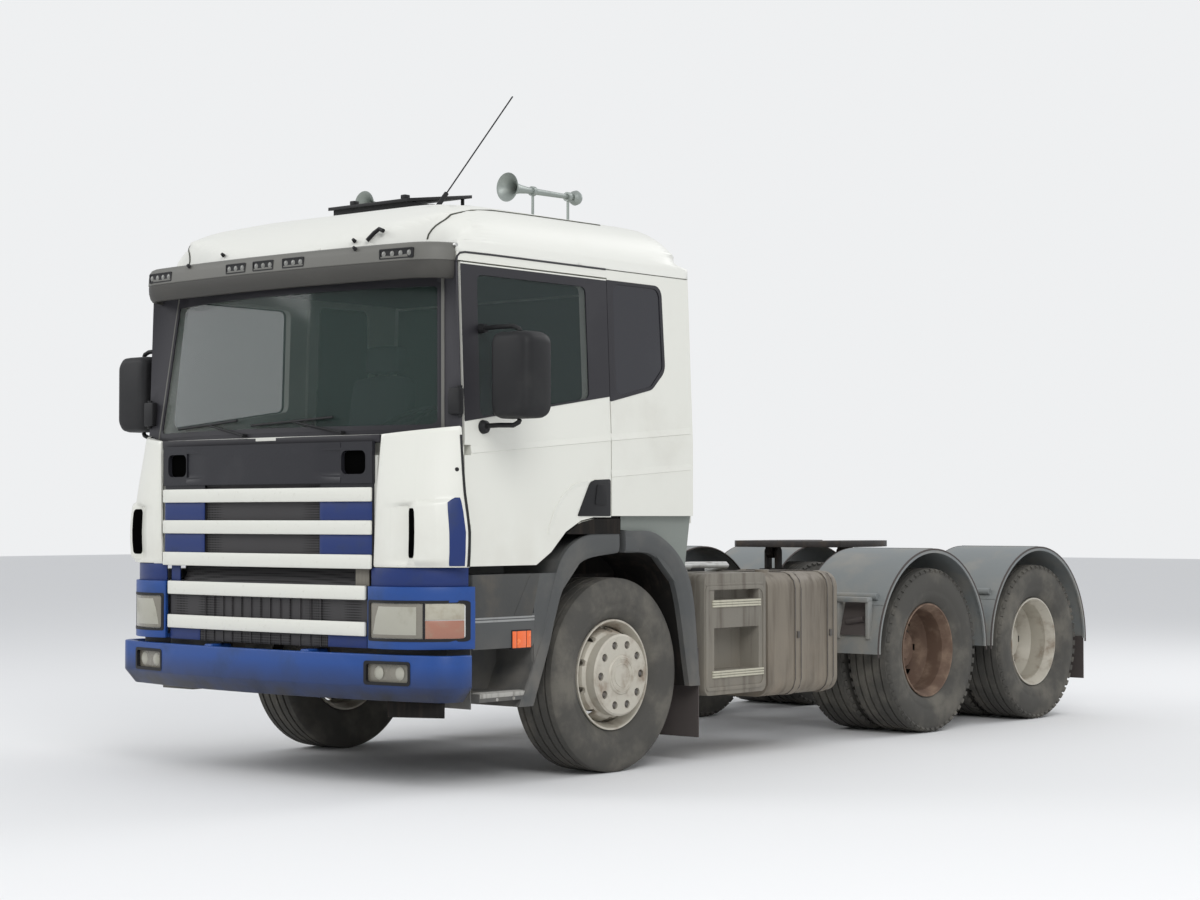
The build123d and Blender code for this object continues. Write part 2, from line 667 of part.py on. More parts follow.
with BuildPart() as headlamp_frames:
    lamp_shell(0, LAMP_WALL, LAMP_FRAME[0][0], LAMP_FRAME[1][0])
    block((LAMP_X[0], LAMP_X[1] + 60), (back(-1520), back(-1226)), LAMP_Z, mode=Mode.SUBTRACT)
    block((800, 1236), (back(-1400), back(-1196)), (1000, 1028))
    block((800, 1236), (back(-1400), back(-1196)), (718, 740))
    block((RAIL_X, 1150), (back(-1290), back(-1230)), (740, 780))
    mirror(about=Plane.YZ)
pieces["headlamp_frames"] = headlamp_frames

with BuildPart() as front_lamps:
    lamp_shell(6, LENS_WALL, LAMP_Z[0], LAMP_Z[1])
    block((LAMP_X[0], LAMP_X[1] + 60), (back(-1520), back(-1226)), LAMP_Z, mode=Mode.INTERSECT)
    mirror(about=Plane.YZ)
    for side in SIDES:
        block((side * (FOG_X[0] - 12), side * (FOG_X[1] + 12)), (back(-1422.2), back(-1402)),
              (FOG_Z[0] - 8, FOG_Z[1] + 8))
        for x in (860, 985):
            rod("Y", (side * x, back(-1434), sum(FOG_Z) / 2), 40, 28)
pieces["front_lamps"] = front_lamps

# Wheel arches of the steered wheels: the front half rides with the cab, the rear half stays on the frame

FLARE_OUT = 1212
FLARE_IN = 800
FLARE_SPLIT = 25
FLARE_WALL = 8
ARCH_REAR_OUTER = ((FLARE_SPLIT, 1298), (332, 1269), (600, 1022), (690, 432))
ARCH_REAR_INNER = ((610, 432), (590, 700), (478, 1000), (280, 1175), (FLARE_SPLIT, 1196))
ARCH_FRONT_OUTER = ((-FLARE_SPLIT, 1298), (-263, 1284), (-489, 1149), (-640, 760), (-816, 403))
ARCH_FRONT_INNER = ((-720, 403), (-600, 700), (-495, 985), (-330, 1150), (-FLARE_SPLIT, 1196))


def arch(outer, inner, out_x, in_x):
    """Half a wheel arch on the left: a face plate between two outlines and a liner that follows the outer."""
    side_plate(outer + inner, out_x - 46, out_x)
    inward = FLARE_WALL if outer[-1][0] < 0 else -FLARE_WALL
    (first_y, first_z), *middle, (last_y, last_z) = outer
    liner = [(first_y, first_z - FLARE_WALL)] + [(y + inward, z - FLARE_WALL) for y, z in middle]
    side_plate(tuple(outer) + ((last_y + inward, last_z), *reversed(liner)), in_x, out_x - 20)


with BuildPart() as rear_flares:
    arch(ARCH_REAR_OUTER, ARCH_REAR_INNER, FLARE_OUT, FLARE_IN)
    block((RAIL_X, FLARE_IN + 40), (back(470), back(500)), (880, 920))
    block((FLARE_IN, FLARE_IN + 40), (back(470), back(500)), (880, 1120))
    mirror(about=Plane.YZ)
pieces["rear_flares"] = rear_flares

FLAP_WALL = 8
FRONT_FLAP_X = (890, 1195)
FRONT_FLAP_Y = 690
FRONT_FLAP_Z = (140, 640)
REAR_FLAP_Z = 242
REAR_FLAP_Y = GUARD_R - GUARD_WALL - SEAT_GAP
with BuildPart() as mudflaps:
    for side in SIDES:
        block((side * FRONT_FLAP_X[0], side * FRONT_FLAP_X[1]),
              (back(FRONT_FLAP_Y + SEAT_GAP), back(FRONT_FLAP_Y + FLAP_WALL)), FRONT_FLAP_Z)
        block((side * (GUARD_INNER + 20), side * (GUARD_OUTER - 14)),
              (AXLE_3 + REAR_FLAP_Y - FLAP_WALL, AXLE_3 + REAR_FLAP_Y), (REAR_FLAP_Z, TYRE_R + 12))
pieces["mudflaps"] = mudflaps

# Left side: the box with two steps, then the fuel tank; right side: the silencer

BOX_TOP = 1055
BOX_BOTTOM = 366
BOX_INNER = 620
BOX_BEND = 45
TREAD_TOPS = (905, 505)
TREAD_WALL = 34
TREAD_DEEP = 80
POCKET_TOPS = (960, 745)
POCKET_DEEP = (80, 140)
POCKET_FRONT = BOX_FRONT + 90
POCKET_REAR = BOX_REAR - 70
with BuildPart() as step_box:
    corners = ((BOX_FRONT, BOX_BOTTOM), (BOX_REAR, BOX_BOTTOM), (BOX_REAR, BOX_TOP), (BOX_FRONT, BOX_TOP))
    extrude(side_outline(corners, BOX_BEND, BOX_INNER), amount=CHASSIS_FACE - BOX_INNER)
    for top, deep, head in zip(TREAD_TOPS, POCKET_DEEP, POCKET_TOPS):
        block((CHASSIS_FACE - deep, CHASSIS_FACE + 1), (back(POCKET_FRONT), back(POCKET_REAR)), (top, head),
              mode=Mode.SUBTRACT)
        block((CHASSIS_FACE - TREAD_DEEP, CHASSIS_FACE + 6), (back(POCKET_FRONT - 5), back(POCKET_REAR + 5)),
              (top - TREAD_WALL, top))
    for place in (BOX_FRONT + 90, BOX_REAR - 90):
        block((RAIL_X, BOX_INNER), (back(place - 30), back(place + 30)), (820, 900))
pieces["step_box"] = step_box

STRAP_HALF = 28
STRAP_PLACES = (1645, 1980)
TANK_BEND = 95


def tank_outline(grow):
    """A sketch of the tank's section across the truck, on the left, this much larger all round."""
    low, high = TANK_BOTTOM - grow, TANK_TOP + grow
    near, far = TANK_INNER - grow, CHASSIS_FACE + grow
    with BuildSketch(Plane.XZ.offset(-back(TANK_FRONT))) as outline:
        with BuildLine():
            FilletPolyline((near, low), (far, low), (far, high), (near, high), radius=TANK_BEND + grow,
                           close=True)
        make_face()
    return outline.sketch


with BuildPart() as fuel_tank:
    extrude(tank_outline(0), amount=-(TANK_REAR - TANK_FRONT))
    for place in STRAP_PLACES:
        band = extrude(tank_outline(5), amount=-2 * STRAP_HALF, mode=Mode.PRIVATE)
        add(Pos(0, place - STRAP_HALF - TANK_FRONT, 0) * band)
        block((RAIL_X, TANK_INNER), (back(place - STRAP_HALF), back(place + STRAP_HALF)),
              (RAIL_BOTTOM + 10, RAIL_TOP - 20))
    rod("Z", (1060, back(1480), TANK_TOP), 42, 36)
pieces["fuel_tank"] = fuel_tank

SILENCER_X = 1150
SILENCER_Z = (380, 900)
SILENCER_BEND = 90
TAILPIPE = 80
TAILPIPE_R = 60
with BuildPart() as silencer:
    front, rear = BOX_FRONT + 40, TANK_REAR
    low, high = SILENCER_Z
    extrude(side_outline(((front, low), (rear, low), (rear, high), (front, high)), SILENCER_BEND, -SILENCER_X),
            amount=SILENCER_X - TANK_INNER)
    for place in (front + 180, rear - 260):
        block((-TANK_INNER, -RAIL_X), (back(place), back(place + 60)), (RAIL_BOTTOM + 10, high - 20))
    rod("Y", (-(TANK_INNER + SILENCER_X) / 2, back(rear + TAILPIPE / 2), 560), TAILPIPE_R, TAILPIPE)
pieces["silencer"] = silencer

# Rear mudguards, half round over each pair of twins

with BuildPart() as rear_mudguards:
    for y in (AXLE_2, AXLE_3):
        with BuildSketch(Plane.YZ.offset(GUARD_INNER)) as ring:
            with BuildLine():
                for r in (GUARD_R, GUARD_R - GUARD_WALL):
                    ThreePointArc((y - r, TYRE_R), (y, TYRE_R + r), (y + r, TYRE_R))
                Line((y - GUARD_R, TYRE_R), (y - GUARD_R + GUARD_WALL, TYRE_R))
                Line((y + GUARD_R, TYRE_R), (y + GUARD_R - GUARD_WALL, TYRE_R))
            make_face()
        extrude(ring.sketch, amount=GUARD_OUTER - GUARD_INNER)
        with BuildSketch(Plane.YZ.offset(GUARD_OUTER - 12)) as lip:
            with BuildLine():
                for r in (GUARD_R, GUARD_R - 26):
                    ThreePointArc((y - r, TYRE_R), (y, TYRE_R + r), (y + r, TYRE_R))
                Line((y - GUARD_R, TYRE_R), (y - GUARD_R + 26, TYRE_R))
                Line((y + GUARD_R, TYRE_R), (y + GUARD_R - 26, TYRE_R))
            make_face()
        extrude(lip.sketch, amount=12)
        rod("X", ((RAIL_X + GUARD_OUTER - 60) / 2, y - 560, RAIL_BOTTOM + 190), 21, GUARD_OUTER - 60 - RAIL_X)
    mirror(about=Plane.YZ)
pieces["rear_mudguards"] = rear_mudguards

with BuildPart() as tail_lamps:
    for side in SIDES:
        block((side * 480, side * 900), (REAR_END - 60, REAR_END), (770, 890))
        block((side * RAIL_X, side * 480), (REAR_END - 60, REAR_END - 40), (800, 860))
pieces["tail_lamps"] = tail_lamps

# Coupling plate: it rocks on two bearings above the frame; its jaw is closed, and the slot opens to the rear

FIFTH = back(FIFTH_Y)
EAR_X = 300
EAR_HALF = 24
EAR_R = 44
PIVOT_R = 26
JAW_WALL = 24
JAW_Y = FIFTH + KING_BORE_R + JAW_WALL
with BuildPart() as fifth_wheel_base:
    block((-RAIL_X, RAIL_X), (FIFTH - 330, FIFTH + 330), (RAIL_TOP, RAIL_TOP + 14))
    for side in SIDES:
        for x in (EAR_X - 52, EAR_X + 34):
            cheek = (side * x, side * (x + 18))
            block(cheek, (FIFTH - 90, FIFTH + 90), (RAIL_TOP + 13, RAIL_TOP + 60))
            block(cheek, (FIFTH - 32, FIFTH + 32), (RAIL_TOP + 13, FIFTH_PIVOT_Z))
            rod("X", (side * (x + 9), FIFTH, FIFTH_PIVOT_Z), 32, 18)
        rod("X", (side * EAR_X, FIFTH, FIFTH_PIVOT_Z), PIVOT_R, 104)
pieces["fifth_wheel_base"] = fifth_wheel_base

with BuildPart() as fifth_wheel_plate:
    with BuildSketch(Plane.XY.offset(FIFTH_TOP - FIFTH_THICK)) as plate:
        with BuildLine():
            Polyline((-440, FIFTH - 260), (-300, FIFTH - 430), (300, FIFTH - 430), (440, FIFTH - 260),
                     (440, FIFTH + 150), (400, FIFTH + 300), (330, FIFTH + 470), (210, FIFTH + 470),
                     (60, FIFTH + 120), (KING_BORE_R, JAW_Y), (-KING_BORE_R, JAW_Y), (-60, FIFTH + 120),
                     (-210, FIFTH + 470), (-330, FIFTH + 470), (-400, FIFTH + 300), (-440, FIFTH + 150),
                     close=True)
        make_face()
    extrude(plate.sketch, amount=FIFTH_THICK)
    rod("Z", (0, FIFTH, FIFTH_TOP - FIFTH_THICK / 2), KING_BORE_R, FIFTH_THICK + 2, mode=Mode.SUBTRACT)
    for side in SIDES:
        block((side * (EAR_X - EAR_HALF), side * (EAR_X + EAR_HALF)), (FIFTH - 60, FIFTH + 60),
              (FIFTH_PIVOT_Z, FIFTH_TOP - FIFTH_THICK))
        rod("X", (side * EAR_X, FIFTH, FIFTH_PIVOT_Z), EAR_R, 2 * EAR_HALF)
        rod("X", (side * EAR_X, FIFTH, FIFTH_PIVOT_Z), PIVOT_R + RUNNING_GAP, 60, mode=Mode.SUBTRACT)
pieces["fifth_wheel_plate"] = fifth_wheel_plate

# Cab shell: floor, walls and rails of the real cab, with its openings cut

DOOR_OUTLINE = (
    (-DOOR_FRONT, CAB_SILL), (-697, CAB_SILL), (-582, 1193), (-465, 1298), (-345, 1356), (-240, 1374),
    (-DOOR_REAR, 1374), (-DOOR_REAR, DOOR_TOP), (-DOOR_FRONT, DOOR_TOP),
)
FLANGE = 34
CUT_FROM = 900
DOOR_WINDOW = ((-1128, 1872), (-262, 2000), (-266, 2606), (-1122, 2606))
QUARTER = ((-50, 2015), (262, 2085), (372, 2190), (360, 2640), (-54, 2640))
SCREEN = ((-1098, 1822), (1098, 1822), (1034, 2562), (-1034, 2562))


def door_sketch(grow):
    """A sketch of the door's outline in the side view, this much larger all round."""
    with BuildSketch(Plane.YZ.offset(CUT_FROM)) as outline:
        with BuildLine():
            Polyline([(back(y), z) for y, z in DOOR_OUTLINE], close=True)
        make_face()
        if grow:
            offset(amount=grow, kind=Kind.INTERSECTION)
    return outline.sketch


def screen_sketch(grow):
    """A sketch of the windscreen's outline in the front view, this much larger all round."""
    with BuildSketch(Plane.XZ.offset(-back(-900))) as outline:
        with BuildLine():
            FilletPolyline(*SCREEN, radius=50, close=True)
        make_face()
        if grow:
            offset(amount=grow)
    return outline.sketch


HINGE_X = 1190
HINGE_Y = -1225
HINGE_PIN_R = 8
HINGE_LEVELS = (1310, 1710)
HINGE_HALF = 20
NOTCH = 35


def hinge_lugs():
    """Lugs and pins of the left door on the pillar."""
    for z in HINGE_LEVELS:
        block((1150, HINGE_X + 6), (back(-DOOR_FRONT - DOOR_HINGE_GAP), back(HINGE_Y + 6)),
              (z - HINGE_HALF, z + HINGE_HALF))
        rod("Z", (HINGE_X, back(HINGE_Y), z), HINGE_PIN_R, 2 * HINGE_HALF + 40)


def hinge_notches():
    """Room for the left door's lugs and pins, cut from the door."""
    for z in HINGE_LEVELS:
        block((1100, 1300), (back(-DOOR_FRONT - 30), back(HINGE_Y + NOTCH)), (z - HINGE_HALF - 6, z + HINGE_HALF + 6),
              mode=Mode.SUBTRACT)
        rod("Z", (HINGE_X, back(HINGE_Y), z), HINGE_PIN_R + RUNNING_GAP, 2 * HINGE_HALF + 50,
            mode=Mode.SUBTRACT)


with BuildPart() as door_lugs:
    hinge_lugs()

# Hinges of the front lid: two pins between lugs of the cab, and an ear of the lid on each

LID_PIN_X = 90
LID_PIN_Y = -1484
LID_PIN_Z = LID_TOP - 11
LID_PIN_R = 4.5
LID_EAR_R = 6.5
LID_EAR_HALF = 20
LID_BAND_DEPTH = 52

DOOR_AHEAD = -DOOR_FRONT - DOOR_HINGE_GAP - 1
PROUD = 20
WAY_X = 1095
WAY_FRONT = -1178
WAY_REAR = -131
WAY_BOTTOM = 1235
WAY_TOP = DOOR_TOP - FLANGE
with BuildPart() as door_depth:
    side_slab(-PROUD, PROUD + DOOR_WALL + DOOR_GAP, DOOR_AHEAD, HINGE_Y + NOTCH)
    side_slab(-PROUD, PROUD + DOOR_WALL + SEAT_GAP, HINGE_Y + NOTCH, 0)

with BuildPart() as door_cut:
    extrude(door_sketch(DOOR_GAP), amount=400)
    block((900, 1300), (back(DOOR_AHEAD), back(-DOOR_FRONT)), (CAB_SILL - DOOR_GAP, DOOR_TOP + DOOR_GAP))
    add(door_depth.part, mode=Mode.INTERSECT)

with BuildPart() as door_way:
    side_plate(((WAY_FRONT, WAY_BOTTOM), (-735, WAY_BOTTOM), (-700, 1405), (WAY_REAR, 1408),
                (WAY_REAR, WAY_TOP), (WAY_FRONT, WAY_TOP)), WAY_X, CAB_HALF + 85)

with BuildPart() as footwell:
    cab_body(CAB_WALL, CAB_FLOOR + FLOOR_WALL, CAB_FLOOR_REAR + FLOOR_WALL + 1)
    block((-1300, 1300), (back(-730), back(CAB_REAR)), (CAB_FLOOR, CAB_BELT), mode=Mode.SUBTRACT)

with BuildPart() as cab_shell:
    cab_body(0, CAB_FLOOR, CAB_SEAM)
    cab_body(CAB_WALL, CAB_FLOOR_REAR + FLOOR_WALL, CAB_SEAM, mode=Mode.SUBTRACT)
    add(footwell.part, mode=Mode.SUBTRACT)
    block((-1300, 1300), (back(-700), back(CAB_REAR + 10)), (CAB_FLOOR - 1, CAB_FLOOR_REAR),
          mode=Mode.SUBTRACT)
    extrude(screen_sketch(0), amount=700, mode=Mode.SUBTRACT)
    for side in SIDES:
        extrude(side_outline(QUARTER, 40, side * 900), amount=side * 400, mode=Mode.SUBTRACT)
        block((side * 1150, side * 1300), (back(-DOOR_REAR), back(CAB_REAR + 10)), (1300, SKIRT_REAR),
              mode=Mode.SUBTRACT)
    for cut in (door_way, door_cut):
        add(cut.part, mode=Mode.SUBTRACT)
        add(cut.part.mirror(Plane.YZ), mode=Mode.SUBTRACT)
    for side in SIDES:
        block((side * (LID_HALF - 22), side * (LID_HALF + 16)),
              (front_y(LID_HALF, BAR_DEPTH) + SEAT_GAP, back(-1330)), (CAB_FLOOR, LID_TOP - 70))
        side_plate(((-TILT_Y - 30, TILT_Z + 30), (-TILT_Y + 8, TILT_Z + 85), (-TILT_Y + 8, CAB_FLOOR),
                    (-TILT_Y + 110, CAB_FLOOR), (-TILT_Y + 80, TILT_Z + 60), (-TILT_Y + 42, TILT_Z),
                    (-TILT_Y, TILT_Z)), side * (TILT_X - 22), side * (TILT_X + 22))
        rod("X", (side * TILT_X, back(-TILT_Y), TILT_Z), TILT_LUG_R, 44)
        rod("X", (side * TILT_X, back(-TILT_Y), TILT_Z), TILT_PIN_R + RUNNING_GAP, 60, mode=Mode.SUBTRACT)
    front_band(LID_HALF + 20, LID_TOP + 18, LID_TOP + 36, LID_BAND_DEPTH, 38)
    for side in SIDES:
        for x in (LID_PIN_X - LID_EAR_HALF - 9, LID_PIN_X + LID_EAR_HALF + 9):
            block((side * (x - 8), side * (x + 8)), (back(LID_PIN_Y), back(-CAB_FRONT + 12)),
                  (LID_PIN_Z - LID_EAR_R, LID_PIN_Z + LID_EAR_R))
            rod("X", (side * x, back(LID_PIN_Y), LID_PIN_Z), LID_EAR_R, 16)
        rod("X", (side * LID_PIN_X, back(LID_PIN_Y), LID_PIN_Z), LID_PIN_R, 2 * (LID_EAR_HALF + 15))
    add(door_lugs.part)
    add(door_lugs.part.mirror(Plane.YZ))
pieces["cab_shell"] = cab_shell


def roof_body(inset, mode=Mode.ADD):
    """The raised roof's volume: its side view and front view crossed with the cab's outline at the seam."""
    lean = CAB_LEAN
    side = BuildSketch(Plane.YZ.offset(-1300))
    with side:
        with BuildLine():
            low = (back(-CAB_FRONT + lean - 60), CAB_SEAM)
            Line(low, (back(-CAB_FRONT + lean - 60), CAB_SEAM + 30))
            Line((back(-CAB_FRONT + lean - 60), CAB_SEAM + 30), (back(-1385 + inset), 2745))
            brow, crown, tail = (back(-1385 + inset), 2745), (back(-760), 3040 - inset), (back(330), 3048 - inset)
            ThreePointArc(brow, (back(-1180), 2918 - inset), crown)
            ThreePointArc(crown, (back(-215), ROOF_TOP - inset), tail)
            ThreePointArc(tail, (back(585 - inset * 0.5), 2940 - inset * 0.6),
                          (back(CAB_REAR - inset), CAB_SEAM + 20))
            Line((back(CAB_REAR - inset), CAB_SEAM + 20), (back(CAB_REAR - inset), CAB_SEAM))
            Line((back(CAB_REAR - inset), CAB_SEAM), low)
        make_face()
    half = CAB_ROOF_HALF - inset
    front = BuildSketch(Plane.XZ.offset(-back(CAB_REAR + 50)))
    with front:
        with BuildLine():
            Line((-half, CAB_SEAM), (half, CAB_SEAM))
            Line((half, CAB_SEAM), (half - 5, CAB_SEAM + 60))
            shoulder, haunch = CAB_SEAM + 205 - inset * 0.6, 2995 - inset
            ThreePointArc((half - 5, CAB_SEAM + 60), (half - 75, shoulder), (half - 270, haunch))
            ThreePointArc((half - 270, haunch), (0, ROOF_TOP + 4 - inset), (-half + 270, haunch))
            ThreePointArc((-half + 270, haunch), (-half + 75, shoulder), (-half + 5, CAB_SEAM + 60))
            Line((-half + 5, CAB_SEAM + 60), (-half, CAB_SEAM))
        make_face()
    plan = cab_outline(CAB_SEAM, CAB_ROOF_HALF, CAB_FRONT - lean, CAB_PILLAR_X - lean, CAB_PILLAR_Y - lean,
                       inset)
    long = extrude(side.sketch, amount=2600, mode=Mode.PRIVATE)
    wide = extrude(front.sketch, amount=2400, mode=Mode.PRIVATE)
    tall = extrude(plan, amount=500, mode=Mode.PRIVATE)
    add(long & wide & tall, mode=mode)


HATCH_Y = -480
HATCH_HALF = (290, 235)
COAMING = 20
with BuildPart() as roof_shell:
    roof_body(0)
    roof_body(ROOF_WALL, mode=Mode.SUBTRACT)
    block((-HATCH_HALF[0] + COAMING, HATCH_HALF[0] - COAMING),
          (back(HATCH_Y - HATCH_HALF[1] + COAMING), back(HATCH_Y + HATCH_HALF[1] - COAMING)),
          (2900, 3200), mode=Mode.SUBTRACT)
pieces["roof_shell"] = roof_shell

# Roof hatch, a little open at its rear edge on two stays

HATCH_LIFT = 70
with BuildPart() as roof_hatch:
    front, rear = HATCH_Y - HATCH_HALF[1], HATCH_Y + HATCH_HALF[1]
    block((-HATCH_HALF[0], HATCH_HALF[0]), (back(front), back(rear)), (2990, 3092))
    block((-HATCH_HALF[0] + COAMING, HATCH_HALF[0] - COAMING), (back(front + COAMING), back(rear - COAMING)),
          (2980, 3100), mode=Mode.SUBTRACT)
    roof_body(-SEAT_GAP, mode=Mode.SUBTRACT)
    side_plate(((front - 22, 3086), (rear + 22, 3086 + HATCH_LIFT), (rear + 22, 3104 + HATCH_LIFT),
                (front - 22, 3104)), -HATCH_HALF[0] - 20, HATCH_HALF[0] + 20)
    for side in SIDES:
        block((side * 260, side * 276), (back(rear - 18), back(rear - 4)), (3088, 3088 + HATCH_LIFT))
pieces["roof_hatch"] = roof_hatch

# Glass of the cab: each pane is a thin layer of the same skin, cut to its opening


def layer(depth, wall):
    """A thin layer of the cab's skin above the belt, this deep under it."""
    cab_body(depth, CAB_BELT, CAB_SEAM)
    cab_body(depth + wall, CAB_BELT, CAB_SEAM, mode=Mode.SUBTRACT)


with BuildPart() as pane_shapes:
    extrude(screen_sketch(-SEAT_GAP), amount=700)
    for side in SIDES:
        extrude(side_outline(QUARTER, 40, side * 900, -SEAT_GAP), amount=side * 400)

with BuildPart() as cab_glass:
    layer(5, GLASS)
    add(pane_shapes.part, mode=Mode.INTERSECT)
pieces["cab_glass"] = cab_glass

# Doors: each is a thick piece of the side, hung on two lugs of the pillar, with its window cut

with BuildPart() as door_left:
    extrude(door_sketch(0), amount=400)
    side_slab(0, DOOR_WALL, DOOR_AHEAD, 0, mode=Mode.INTERSECT)
    extrude(side_outline(DOOR_WINDOW, 40, 900), amount=400, mode=Mode.SUBTRACT)
    hinge_notches()
pieces["door_left"] = door_left

with BuildPart() as door_right:
    add(door_left.part.mirror(Plane.YZ))
pieces["door_right"] = door_right

with BuildPart() as door_glass_left:
    layer(5, GLASS)
    extrude(side_outline(DOOR_WINDOW, 40, 900, -SEAT_GAP), amount=400, mode=Mode.INTERSECT)
pieces["door_glass_left"] = door_glass_left

with BuildPart() as door_glass_right:
    add(door_glass_left.part.mirror(Plane.YZ))
pieces["door_glass_right"] = door_glass_right

# Mirrors: one tall head on two arms that stand on the door

HEAD_X = (1335, 1598)
HEAD_Y = (-1198, -1005)
HEAD_Z = (1860, 2300)
HEAD_BEND = 18
ARM_R = 14
ARM_X = 1470
ARM_Z = (1826, 2330)
FOOT_R = 26
ARM_PLACE = -1100
for side, name in zip(SIDES, ("left", "right")):
    with BuildPart() as piece:
        with BuildSketch(Plane.XY.offset(HEAD_Z[0])) as plan:
            with BuildLine():
                FilletPolyline((side * HEAD_X[0], back(HEAD_Y[1])),
                               (side * (HEAD_X[0] + 8), back(HEAD_Y[0] + 60)),
                               (side * (HEAD_X[0] + 60), back(HEAD_Y[0])),
                               (side * (HEAD_X[1] - 80), back(HEAD_Y[0])),
                               (side * HEAD_X[1], back(HEAD_Y[0] + 70)),
                               (side * HEAD_X[1], back(HEAD_Y[1])), radius=HEAD_BEND, close=True)
            make_face()
        extrude(plan.sketch, amount=HEAD_Z[1] - HEAD_Z[0])
        for z, edge in zip(ARM_Z, HEAD_Z):
            foot = side_x(z - FOOT_R) + SEAT_GAP
            rod("X", (side * (foot + ARM_X) / 2, back(ARM_PLACE), z), ARM_R, ARM_X - foot)
            rod("X", (side * (foot + 6), back(ARM_PLACE), z), FOOT_R, 12)
            rod("Z", (side * ARM_X, back(ARM_PLACE), (z + edge) / 2), ARM_R, abs(z - edge) + ARM_R)
    pieces[f"mirror_{name}"] = piece

# Front lid: panel, bars and end fills in one; the mesh behind the bars is its own piece

LID_SKIN = 4
SCOOP_START = 450
SCOOP_X = (600, 772)
SCOOP_Z = (1588, 1716)
SCOOP_DEPTH = 8
FILL_DEPTH = 13
FILL_IN = 450
MESH_TOP = PANEL_BOTTOM + 14
MESH_HALF = FILL_IN + 40
with BuildPart() as lid_panel:
    front_band(LID_HALF, PANEL_BOTTOM, LID_TOP, LID_SKIN, LID_WALL)
    for side in SIDES:
        scoop = sorted((side * SCOOP_START, side * SCOOP_X[0]))
        intake = sorted((side * SCOOP_X[0], side * SCOOP_X[1]))
        front_band(scoop[1], *SCOOP_Z, 0, LID_SKIN + SCOOP_DEPTH, x_from=scoop[0], mode=Mode.SUBTRACT)
        front_band(intake[1], *SCOOP_Z, 0, 2 * LID_WALL, x_from=intake[0], mode=Mode.SUBTRACT)
    for top in BAR_TOPS:
        front_band(LID_HALF - 4, top - BAR_HEIGHT, top, 0, BAR_DEPTH)
    for side in SIDES:
        ends = sorted((side * FILL_IN, side * (LID_HALF - 4)))
        front_band(ends[1], LID_BOTTOM, PANEL_BOTTOM + 1, FILL_DEPTH, BAR_DEPTH - FILL_DEPTH, x_from=ends[0])
        ear = (side * (LID_PIN_X - LID_EAR_HALF), side * (LID_PIN_X + LID_EAR_HALF))
        pin = (side * LID_PIN_X, back(LID_PIN_Y), LID_PIN_Z)
        block(ear, (front_y(LID_PIN_X, LID_WALL), pin[1]), (LID_PIN_Z - LID_EAR_R, LID_PIN_Z + LID_EAR_R))
        rod("X", pin, LID_EAR_R, 2 * LID_EAR_HALF)
        rod("X", pin, LID_PIN_R + RUNNING_GAP, 2 * LID_EAR_HALF + 8, mode=Mode.SUBTRACT)
pieces["lid_panel"] = lid_panel

with BuildPart() as lid_grille:
    front_band(MESH_HALF, LID_BOTTOM + 4, MESH_TOP, BAR_DEPTH + SEAT_GAP, 8)
pieces["lid_grille"] = lid_grille

# Corner panels between lid and door, curved and widest at mid height, on stays from the cab's corner

CORNER_WALL = 22
CORNER_ROWS = (
    # z, then three places of the outer face: (x, in front of the axle)
    (1125, (822, 1487), (1105, 1425), (1262, 1262)),
    (1300, (830, 1487), (1130, 1432), (1288, 1262)),
    (1500, (838, 1483), (1120, 1425), (1262, 1262)),
    (1790, (860, 1470), (1075, 1390), (1222, 1262)),
)
with BuildPart() as corner_panels:
    rows = [arc_strip(*[(x, -y) for x, y in row[1:]], CORNER_WALL, row[0]) for row in CORNER_ROWS]
    for low, high in zip(rows, rows[1:]):
        loft([low, high], ruled=True)
    block((980, 1040), (back(-1456), back(-1300)), (1300, 1340))
    block((980, 1040), (back(-1445), back(-1300)), (1600, 1640))
    cab_body(-SEAT_GAP, CAB_FLOOR - 60, CAB_BELT + 20, mode=Mode.SUBTRACT)
    block((1090, 1125), (back(-1500), back(-1350)), (1250, 1470), mode=Mode.SUBTRACT)
    mirror(about=Plane.YZ)
pieces["corner_panels"] = corner_panels

# Sun visor over the windscreen, open below and behind

VISOR_BOTTOM = 2570
VISOR_TOP = 2757
VISOR_WALL = 14
VISOR_PLACES = ((0, 1478), (950, 1425), (1112, 1352), (1171, 1225), (1171, 1205))
with BuildPart() as sun_visor:
    extrude(nose_outline(VISOR_BOTTOM, VISOR_PLACES, 0), amount=VISOR_TOP - VISOR_BOTTOM)
    extrude(nose_outline(VISOR_BOTTOM - 1, VISOR_PLACES, VISOR_WALL), amount=VISOR_TOP - VISOR_BOTTOM - 11,
            mode=Mode.SUBTRACT)
    block((-1300, 1300), (back(-1206), back(-1100)), (VISOR_BOTTOM - 2, VISOR_TOP + 2), mode=Mode.SUBTRACT)
    cab_body(-SEAT_GAP, CAB_BELT, CAB_SEAM, mode=Mode.SUBTRACT)
    roof_body(-SEAT_GAP, mode=Mode.SUBTRACT)
pieces["sun_visor"] = sun_visor

# Horns and aerial on the roof

